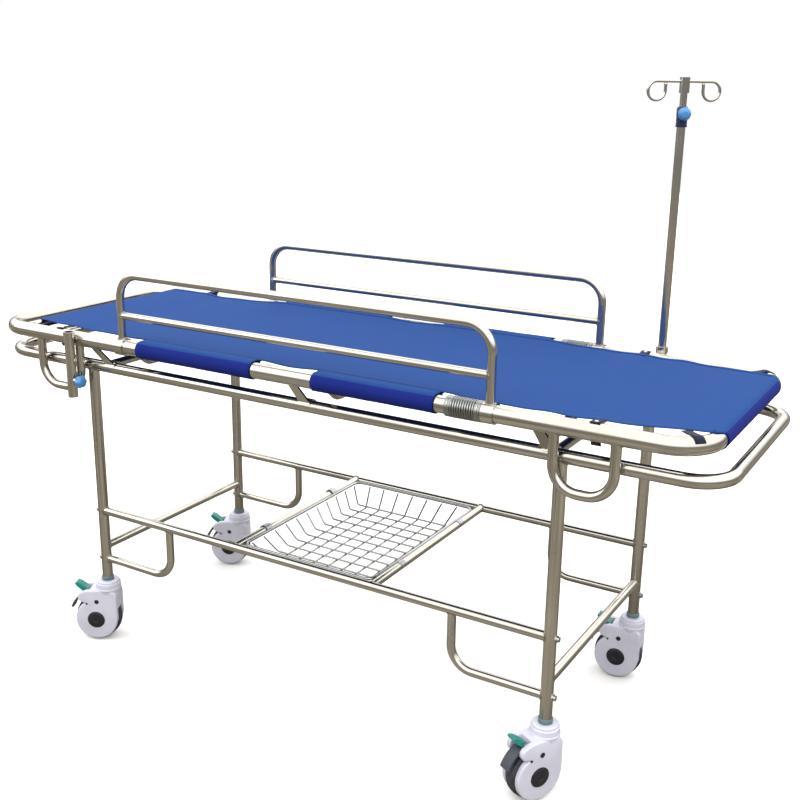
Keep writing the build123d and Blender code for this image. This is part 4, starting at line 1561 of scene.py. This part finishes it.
# ---------------------------------------------------------------------------------------------
# Guard rails
# ---------------------------------------------------------------------------------------------
@dataclass
class GuardRail:
    """One folding guard rail with its collars and its locking sleeve."""

    shop: Workshop
    side: Side
    post_xs: tuple[float, float] = (-0.517, 0.500)
    mid_z: float = 0.931
    post_r: float = 0.010
    mid_r: float = 0.009
    collar_r: float = 0.0225
    lock_xs: tuple[float, float] = (0.403, 0.485)
    lock_ring: float = 0.013
    spring_wire: float = 0.0021
    spring_turns: int = 10
    turn_steps: int = 28

    def dress(self) -> None:
        """Finishes the carried CAD nodes."""
        for part in ("guard_rail", "guard_collars"):
            self.shop.paint.dress_node(f"{part}_{self.side.word}", STAINLESS)

    def weld_beads(self) -> bpy.types.Object:
        """Beads at the collars and at the ends of the middle rail.

        Returns:
            The beads, as one piece.
        """
        y = self.side.value * SIDE_TUBE_Y
        beads = []
        for post, inward in zip(self.post_xs, (1, -1)):
            beads.append(Weld((post, y, SIDE_TUBE_Z), (0, 0, 1), self.post_r, self.collar_r, (1, 0, 0)))
            beads.append(Weld((post, y, self.mid_z), (inward, 0, 0), self.mid_r, self.post_r, (0, 0, 1)))
        name = f"guard_weld_beads_{self.side.word}"
        return self.shop.finish_piece(joint_beads(beads), name, f"guard_{self.side.word}", WELD, crease=60)

    def locking_sleeve(self) -> bpy.types.Object:
        """The sprung lock: a flanged ring and a close coil spring that drives it against the collar.

        Returns:
            The lock, as one piece.
        """
        shape = bmesh.new()
        first, last = self.lock_xs
        inner, outer, ring = SIDE_TUBE_R + 0.0003, self.collar_r + 0.0004, self.lock_ring
        centre = Vector((0, self.side.value * SIDE_TUBE_Y, SIDE_TUBE_Z))
        profile = [(inner, 0), (outer, 0), (outer, ring * 0.35), (outer - 0.0012, ring * 0.5),
                   (outer, ring * 0.65), (outer, ring), (inner, ring), (inner, 0)]
        for start in (first, last - ring):
            place = facing(centre + Vector((start, 0, 0)), Vector((1, 0, 0)))
            turn_profile(shape, eased(profile, 0.0007), place, steps=56)
        wire, turns, steps = self.spring_wire, self.spring_turns, self.turn_steps
        pitch = (last - first - 2 * ring) / turns
        start = centre + Vector((first + ring, SIDE_TUBE_R + wire + 0.0002, 0))
        loop = bmesh.ops.create_circle(
            shape, cap_ends=False, radius=wire, segments=8, matrix=facing(start, Vector((0, 0, 1)))
        )["verts"]
        coil = list({edge for vert in loop for edge in vert.link_edges})
        bmesh.ops.spin(
            shape, geom=coil + loop, cent=centre + Vector((first + ring, 0, 0)), axis=(1, 0, 0),
            dvec=(pitch / steps, 0, 0), angle=2 * math.pi * turns, steps=steps * turns, use_merge=False,
            use_duplicate=False,
        )
        return self.shop.finish_piece(
            shape, f"locking_spring_{self.side.word}", f"lock_{self.side.word}", SPRING, crease=40,
            replaces=(f"guard_lock_{self.side.word}",), slot="bright_steel",
        )

    def build(self) -> None:
        """Makes and dresses the guard rail."""
        self.dress()
        self.weld_beads()
        self.locking_sleeve()


# ---------------------------------------------------------------------------------------------
# Drip pole
# ---------------------------------------------------------------------------------------------
@dataclass
class HandKnob:
    """A moulded knob with lobes and a domed face, on the end of a clamp screw."""

    shop: Workshop
    name: str
    body: str
    node: str
    seat: Vector
    axis: Vector
    radius: float
    length: float
    lobes: int = 6
    screw_r: float = 0.0038
    screw_length: float = 0.009
    screw_back: float = 0.0050

    def build(self) -> bpy.types.Object:
        """Turns the knob, draws its sides in between the lobes and adds the screw.

        Returns:
            The knob.
        """
        shape = bmesh.new()
        r, h = self.radius, self.length
        profile = eased(
            [(0.0, h), (r * 0.45, h - 0.0004), (r * 0.80, h - 0.0032), (r, h * 0.52), (r * 0.97, h * 0.30),
             (r * 0.80, 0.0), (r * 0.45, 0.0), (r * 0.45, -0.001), (0.0, -0.001)], 0.0040
        )
        fresh = turn_profile(shape, profile, steps=96)
        for vert in fresh:
            angle = math.atan2(vert.co.y, vert.co.x)
            reach = math.hypot(vert.co.x, vert.co.y) / r
            dent = 0.5 - 0.5 * math.cos(angle * self.lobes)
            shrink = 1 - 0.13 * dent**1.6 * max(0.0, (reach - 0.55) / 0.45)
            vert.co.x *= shrink
            vert.co.y *= shrink
        bmesh.ops.transform(shape, matrix=facing(self.seat, self.axis), verts=fresh)
        shank = facing(self.seat - self.axis.normalized() * self.screw_back, self.axis)
        add_pin(shape, shank, self.screw_r, self.screw_length, 20)
        return self.shop.finish_piece(
            shape, self.name, self.body, KNOB, crease=45, replaces=(self.node,), slot="knob_plastic"
        )


@dataclass
class DripPole:
    """The telescopic pole, its clamp, its hook bar and the knobs that hold it."""

    shop: Workshop
    clamp_low: float = 1.404
    clamp_high: float = 1.450
    clamp_r: float = 0.013
    knob_z: float = 1.434
    knob_turn: float = -62.0
    socket_knob_z: float = 0.748
    clamp_knob_size: tuple[float, float] = (0.0150, 0.018)
    clamp_knob_out: float = 0.018
    socket_knob_size: tuple[float, float] = (0.0168, 0.020)
    tube_fit: float = 0.0101
    rod_fit: float = 0.0084
    clamp_step: float = 1.4122
    hook_turn: float = 42.0
    hook_z: float = 1.499
    hook_reach: float = 0.0465
    tip_r: float = 0.0042

    def dress(self) -> None:
        """Finishes the carried CAD nodes."""
        for node in ("pole_tube", "pole_rod", "pole_hook_bar"):
            self.shop.paint.dress_node(node, STAINLESS)

    def clamp(self) -> bpy.types.Object:
        """The moulded clamp: a ribbed collar that grips the rod, with a boss for its knob.

        Returns:
            The clamp.
        """
        shape = bmesh.new()
        r, low, high = self.clamp_r, self.clamp_low, self.clamp_high
        bore, fit, step = self.tube_fit, self.rod_fit, self.clamp_step
        profile = [(bore, low), (r - 0.0006, low), (r, low + 0.001)]
        for k in range(4):
            z = low + 0.006 + k * 0.005
            profile += [(r, z), (r - 0.0007, z + 0.0006), (r - 0.0007, z + 0.0022), (r, z + 0.0028)]
        profile += [(r, high - 0.004), (r - 0.0025, high), (fit, high), (fit, step), (bore, step),
                    (bore, low)]
        turn_profile(shape, profile, Matrix.Translation((POLE_X, POLE_Y, 0)), steps=48)
        turn = math.radians(self.knob_turn)
        out = Vector((math.cos(turn), math.sin(turn), 0))
        boss = [(0.0, 0.0105), (0.0078, 0.0105), (0.0078, 0.0155), (0.0070, 0.0168), (0.0, 0.0168)]
        turn_profile(shape, boss, facing(Vector((POLE_X, POLE_Y, self.knob_z)), out), steps=28)
        return self.shop.finish_piece(
            shape, "pole_clamp_moulding", "drip_pole", CLAMP, replaces=("pole_clamp",), slot="clamp_plastic"
        )

    def hook_tips(self) -> bpy.types.Object:
        """Rounded beads on the free ends of the hook bar, so that a bag slips on.

        Returns:
            Both beads, as one piece.
        """
        shape = bmesh.new()
        turn = math.radians(self.hook_turn)
        along = Vector((math.cos(turn), math.sin(turn), 0))
        for way in (-1, 1):
            tip = Vector((POLE_X, POLE_Y, self.hook_z)) + along * (way * self.hook_reach)
            bead = arc((0, 0), self.tip_r, 90, -90, 8)
            turn_profile(shape, [(abs(a), b) for a, b in bead], Matrix.Translation(tip), steps=20)
        return self.shop.finish_piece(shape, "hook_tips", "drip_rod", STAINLESS)

    def knobs(self) -> None:
        """The clamp's knob and the two socket knobs."""
        turn = math.radians(self.knob_turn)
        out = Vector((math.cos(turn), math.sin(turn), 0))
        centre = Vector((POLE_X, POLE_Y, self.knob_z))
        seat = centre + out * self.clamp_knob_out
        HandKnob(self.shop, "clamp_hand_knob", "clamp_knob", "pole_clamp_knob", seat, out,
                 *self.clamp_knob_size, lobes=0).build()
        for side, body in ((Side.NEAR, "socket_knob_n"), (Side.FAR, "socket_knob_f")):
            node = f"socket_knob_{side.word}"
            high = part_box(node)[1]
            seat = Vector((high.x - self.socket_knob_size[1], middle(node).y, self.socket_knob_z))
            HandKnob(self.shop, f"socket_hand_knob_{side.word}", body, node, seat, Vector((1, 0, 0)),
                     *self.socket_knob_size).build()

    def build(self) -> None:
        """Makes and dresses the pole."""
        self.dress()
        self.clamp()
        self.hook_tips()
        self.knobs()


# ---------------------------------------------------------------------------------------------
# Casters
# ---------------------------------------------------------------------------------------------
@dataclass
class Caster:
    """One braked swivel caster, modelled with X along its trail and then turned into place."""

    shop: Workshop
    name: str
    x: float
    y: float
    turn: float
    trail: float = 0.030
    axle_z: float = 0.0625
    axle_r: float = 0.006
    tyre_r: float = 0.0625
    tyre_half: float = 0.016
    core_r: float = 0.046
    spokes: int = 10
    spoke_mid: float = 0.0275
    spoke_size: tuple[float, float, float] = (0.027, 0.0028, 0.025)
    paddle_half: float = 0.0130
    pad_half: float = 0.0148
    pad_r: tuple[float, float] = (0.0732, 0.0798)
    front: float = -0.029
    cheek_r: float = 0.057
    cheek_half: float = 0.031
    slot_half: float = 0.018
    slot_r: float = 0.066
    top_z: float = 0.1735

    @property
    def place(self) -> Matrix:
        """Where the caster stands, with its X turned along the trail."""
        return Matrix.Translation((self.x, self.y, 0)) @ turned(180 + self.turn)

    def across(self) -> Matrix:
        """Turns a part lathed about Z so that it lies on the wheel's axle."""
        return Matrix.Translation((self.trail, 0, self.axle_z)) @ turned(-90, "X")

    def finish(self, shape: bmesh.types.BMesh, part: str, body: str, finish: Finish, **rest: object) -> None:
        """Turns a shape into place and makes it a piece.

        Args:
            shape: the bmesh, which is freed.
            part: what the piece is.
            body: which of the moving bodies it rides on.
            finish: what it is finished in.
            rest: more of the workshop's settings.
        """
        bmesh.ops.transform(shape, matrix=self.place, verts=shape.verts)
        name = f"caster_{self.name}_{part}_look"
        self.shop.finish_piece(shape, name, f"{body}_{self.name}", finish, **rest)

    def node(self, part: str) -> str:
        """Name of one of this caster's CAD nodes."""
        return f"caster_{self.name}_{part}"

    def cheek_outline(self) -> list[tuple[float, float]]:
        """Side outline of the housing: round cheek, straight front, flat top and a stepped back.

        Returns:
            The corner points, in order.
        """
        centre = (self.trail, self.axle_z)
        front = self.front
        return (
            arc(centre, self.cheek_r, 49, 14, 6)
            + arc(centre, self.cheek_r, 10, -170, 30)
            + [(front, self.axle_z), (front, 0.128)]
            + arc((front + 0.018, 0.130), 0.018, 180, 90, 5)
            + [(0.034, 0.1490), (0.056, 0.1470), (0.0730, 0.1400), (0.0780, 0.1335), (0.0785, 0.1230),
               (0.0750, 0.1165), (0.0690, 0.1135), (0.0560, 0.1100)]
        )

    def block_outline(self) -> list[tuple[float, float]]:
        """Side outline of the block that joins the cheeks over the wheel.

        Returns:
            The corner points, in order.
        """
        centre = (self.trail, self.axle_z)
        front = self.front
        return (
            arc(centre, self.slot_r, 152, 62, 18)
            + [(0.0485, 0.1335), (0.0470, 0.1475), (0.034, 0.149)]
            + arc((front + 0.018, 0.130), 0.018, 90, 180, 5)
            + [(front, self.axle_z + 0.031)]
        )

    def housing(self) -> None:
        """The housing: two rounded cheeks, the block over the wheel and the stepped head."""
        shape = bmesh.new()
        outline = self.cheek_outline()
        slab(shape, outline, self.slot_half, self.cheek_half, 0.0012, 0.0065, segments=4)
        slab(shape, outline, -self.cheek_half, -self.slot_half, 0.0065, 0.0012, segments=4)
        slab(shape, self.block_outline(), -self.slot_half - 0.0005, self.slot_half + 0.0005)
        head = eased(
            [(0.0095, 0.140), (0.0325, 0.140), (0.0325, 0.1465), (0.0345, 0.1480), (0.0345, 0.1512),
             (0.0330, 0.1524), (0.0330, 0.1648), (0.0318, 0.1662), (0.0300, 0.1662), (0.0300, 0.1712),
             (0.0275, self.top_z), (0.0165, self.top_z), (0.0150, 0.1722), (0.0095, 0.1722), (0.0095, 0.140)],
            0.0012,
        )
        turn_profile(shape, head, steps=56)
        self.finish(shape, "housing", "swivel", HOUSING, crease=38, replaces=(self.node("housing"),),
                    slot="caster_plastic")

    def screws(self) -> None:
        """Dark recessed screws on both cheeks."""
        shape = bmesh.new()
        for way in (-1, 1):
            for sx, sz, sr in ((0.026, 0.116, 0.0058), (0.0540, 0.1090, 0.0026)):
                cup = [(0.0, 0.0), (sr * 0.55, 0.0), (sr * 0.60, 0.0006), (sr, 0.0006), (sr * 1.08, 0.0002),
                       (sr * 1.08, -0.003), (0.0, -0.003)]
                place = facing(Vector((sx, way * (self.cheek_half + 0.0002), sz)), Vector((0, way, 0)))
                turn_profile(shape, cup, place, steps=24)
        self.finish(shape, "screws", "swivel", DARK_CAP, crease=30)

    def caps(self) -> None:
        """The dark covers over both ends of the axle."""
        shape = bmesh.new()
        for way in (-1, 1):
            dome = eased(
                [(0.0, 0.0021), (0.0065, 0.0021), (0.0080, 0.0030), (0.0195, 0.0026), (0.0238, 0.0010),
                 (0.0242, -0.0010), (0.0, -0.0010)], 0.0008
            )
            place = facing(Vector((self.trail, way * self.cheek_half, self.axle_z)), Vector((0, way, 0)))
            turn_profile(shape, dome, place, steps=48)
        add_pin(shape, self.across(), self.axle_r, 2 * self.cheek_half, 24)
        self.finish(shape, "caps", "swivel", DARK_CAP, crease=40, replaces=(self.node("axle"),),
                    slot="cap_plastic")

    def wheel(self) -> None:
        """The tyre, with a crowned tread and side lips, and the spoked core."""
        tyre = bmesh.new()
        r, half, core = self.tyre_r, self.tyre_half, self.core_r
        tread = eased(
            [(core, -half + 0.0012), (core + 0.0035, -half), (r - 0.0060, -half),
             (r - 0.0012, -half + 0.0062), (r, 0.0), (r - 0.0012, half - 0.0062), (r - 0.0060, half),
             (core + 0.0035, half),
             (core, half - 0.0012), (core, -half + 0.0012)], 0.0035, 4
        )
        turn_profile(tyre, tread, self.across(), steps=96)
        self.finish(tyre, "tyre", "wheel", TYRE, crease=50, replaces=(self.node("tyre"),), slot="tyre_rubber")
        hub = bmesh.new()
        web = [(0.0062, -0.0150), (0.0140, -0.0150), (0.0150, -0.0060), (0.0390, -0.0060), (0.0400, -0.0148),
               (core, -0.0148), (core, 0.0148), (0.0400, 0.0148), (0.0390, 0.0060), (0.0150, 0.0060),
               (0.0140, 0.0150), (0.0062, 0.0150), (0.0062, -0.0150)]
        turn_profile(hub, eased(web, 0.001), self.across(), steps=72)
        for k in range(self.spokes):
            spoke = turned(360 * k / self.spokes) @ Matrix.Translation((self.spoke_mid, 0, 0))
            size = Matrix.Diagonal((*self.spoke_size, 1))
            bmesh.ops.create_cube(hub, size=1.0, matrix=self.across() @ spoke @ size)
        self.finish(hub, "core", "wheel", CORE, replaces=(self.node("wheel"),), slot="core_plastic")

    def pedal(self) -> None:
        """The brake pedal: a ribbed teal paddle on a barrel, with a dark pad that hangs over the tyre."""
        paddle = bmesh.new()
        pivot = (0.058, 0.139)
        blade = (
            arc(pivot, 0.0062, 120, -55, 8)
            + [(0.0670, 0.1370), (0.0820, 0.1490), (0.0885, 0.1565)]
            + arc((0.0860, 0.1595), 0.0038, -35, 130, 5)
            + [(0.0770, 0.1600), (0.0600, 0.1475)]
        )
        slab(paddle, blade, -self.paddle_half, self.paddle_half, 0.0016, 0.0016, segments=2)
        for k in range(4):
            t = 0.12 + 0.24 * k
            spot = Vector((0.0640 + 0.0175 * t, 0, 0.1503 + 0.0122 * t))
            add_pin(paddle, facing(spot, Vector((0, 1, 0))), 0.0010, 0.022, 10)
        self.finish(paddle, "paddle", "pedal", PEDAL, crease=34, replaces=(self.node("pedal"),),
                    slot="pedal_plastic")
        pad = bmesh.new()
        centre = (self.trail, self.axle_z)
        under, over = self.pad_r
        band = arc(centre, under, 62, 20, 12) + arc(centre, over, 20, 60, 12) + [(0.0640, 0.1330)]
        slab(pad, band, -self.pad_half, self.pad_half, 0.0020, 0.0020, segments=2)
        self.finish(pad, "pad", "pedal", BRAKE_PAD, crease=34)

    def build(self) -> None:
        """Makes the whole caster."""
        self.housing()
        self.screws()
        self.caps()
        self.wheel()
        self.pedal()


# ---------------------------------------------------------------------------------------------
# Studio
# ---------------------------------------------------------------------------------------------
@dataclass
class Studio:
    """Pale floor, soft light from above and the camera."""

    camera_at: tuple[float, float, float] = (1.4066, -2.2069, 1.4969)
    camera_turn: tuple[float, float, float] = (73.517, -0.850, 30.777)
    lens: float = 48.52
    sky_top: float = 2.1
    sky_rim: float = 0.30
    floor_dark: Colour = (0.110, 0.098, 0.076)
    floor_pale: Colour = (0.285, 0.262, 0.220)
    floor_r: float = 14.0
    aim: tuple[float, float, float] = (0, 0, 0.6)

    def eye_or_light(
        self, recipe: Recipe, lighting: bpy.types.NodeSocket, seen: bpy.types.NodeSocket, output: str
    ) -> None:
        """Shows one shader to the camera and another to the light that falls on the object.

        Args:
            recipe: the recipe that takes the nodes.
            lighting: the shader that lights and is mirrored.
            seen: the shader that the camera sees.
            output: Blender's type name for the output node.
        """
        path = recipe.node("ShaderNodeLightPath")
        mix = recipe.node("ShaderNodeMixShader")
        end = recipe.node(output)
        recipe.join(path.outputs["Is Camera Ray"], mix.inputs[0])
        recipe.join(lighting, mix.inputs[1])
        recipe.join(seen, mix.inputs[2])
        recipe.join(mix.outputs["Shader"], end.inputs["Surface"])

    def camera(self) -> None:
        """The camera."""
        lens = bpy.data.cameras.new("camera")
        lens.lens = self.lens
        lens.sensor_width = 36.0
        lens.clip_end = 100.0
        holder = bpy.data.objects.new("camera", lens)
        holder.location = self.camera_at
        holder.rotation_euler = [math.radians(angle) for angle in self.camera_turn]
        bpy.context.scene.collection.objects.link(holder)
        bpy.context.scene.camera = holder

    def floor(self) -> None:
        """A plain pale floor, dimmer to what it is mirrored in than to the eye."""
        shape = bmesh.new()
        bmesh.ops.create_circle(shape, cap_ends=True, radius=self.floor_r, segments=64)
        mesh = bpy.data.meshes.new("floor")
        shape.to_mesh(mesh)
        shape.free()
        floor = bpy.data.objects.new("floor", mesh)
        bpy.context.scene.collection.objects.link(floor)
        material = bpy.data.materials.new("pale floor")
        material.use_nodes = True
        material.node_tree.nodes.clear()
        recipe = Recipe(material.node_tree)
        seen = recipe.node("ShaderNodeBsdfDiffuse")
        seen.inputs["Color"].default_value = (0.90, 0.90, 0.90, 1)
        bounced = recipe.node("ShaderNodeBsdfDiffuse")
        where = recipe.node("ShaderNodeTexCoord")
        patches = recipe.ramp(scaled_noise(recipe, where.outputs["Object"], 0.55, 2.0), 0.36, 0.64)
        recipe.join(recipe.blend(patches, self.floor_dark, self.floor_pale), bounced.inputs["Color"])
        self.eye_or_light(recipe, bounced.outputs["BSDF"], seen.outputs["BSDF"], "ShaderNodeOutputMaterial")
        mesh.materials.append(material)

    def sky(self) -> None:
        """Even light: bright overhead, dimmer towards the horizon, plain white behind."""
        world = bpy.data.worlds.new("studio")
        world.use_nodes = True
        world.node_tree.nodes.clear()
        recipe = Recipe(world.node_tree)
        where = recipe.node("ShaderNodeTexCoord")
        apart = recipe.node("ShaderNodeSeparateXYZ")
        recipe.join(where.outputs["Generated"], apart.inputs["Vector"])
        height = recipe.ramp(apart.outputs["Z"], 0.10, 0.34)
        climb = recipe.calculate("MULTIPLY", height, self.sky_top - self.sky_rim)
        strength = recipe.calculate("ADD", climb, self.sky_rim)
        light = recipe.node("ShaderNodeBackground")
        light.inputs["Color"].default_value = (1.0, 0.985, 0.96, 1)
        recipe.join(strength, light.inputs["Strength"])
        plain = recipe.node("ShaderNodeBackground", Strength=1.0)
        plain.inputs["Color"].default_value = (1, 1, 1, 1)
        self.eye_or_light(
            recipe, light.outputs["Background"], plain.outputs["Background"], "ShaderNodeOutputWorld"
        )
        bpy.context.scene.world = world

    def softbox(self, name: str, at: Vector, size: float, power: float) -> None:
        """A square area light aimed at the middle of the trolley.

        Args:
            name: name of the light.
            at: where it stands.
            size: length of its side.
            power: its power in watts.
        """
        lamp = bpy.data.lights.new(name, "AREA")
        lamp.shape = "SQUARE"
        lamp.size = size
        lamp.energy = power
        holder = bpy.data.objects.new(name, lamp)
        holder.location = at
        holder.rotation_euler = (at - Vector(self.aim)).to_track_quat("Z", "Y").to_euler()
        bpy.context.scene.collection.objects.link(holder)

    def build(self) -> None:
        """Sets the whole stage."""
        self.camera()
        self.floor()
        self.sky()
        self.softbox("key", Vector((2.6, -3.0, 3.6)), 2.2, 40)
        self.softbox("fill", Vector((-3.2, -2.4, 2.6)), 2.6, 20)
        view = bpy.context.scene.view_settings
        view.view_transform = "Standard"
        view.look = "None"


def main() -> None:
    """Builds every sub-assembly in order."""
    logging.basicConfig(level=logging.INFO, format="%(message)s")
    shop = Workshop(Paintshop())
    Studio().build()
    TrolleyFrame(shop).build()
    Basket(shop).build()
    StretcherFrame(shop).build()
    CanvasDeck(shop).build()
    for side in Side:
        GuardRail(shop, side).build()
    DripPole(shop).build()
    for name, end, side, turn in (
        ("near_head", -1, -1, 27), ("near_foot", 1, -1, 60), ("far_head", -1, 1, 25), ("far_foot", 1, 1, 5),
    ):
        Caster(shop, name, end * LEG_X, side * LEG_Y, turn).build()


if __name__ == "__main__":
    main()
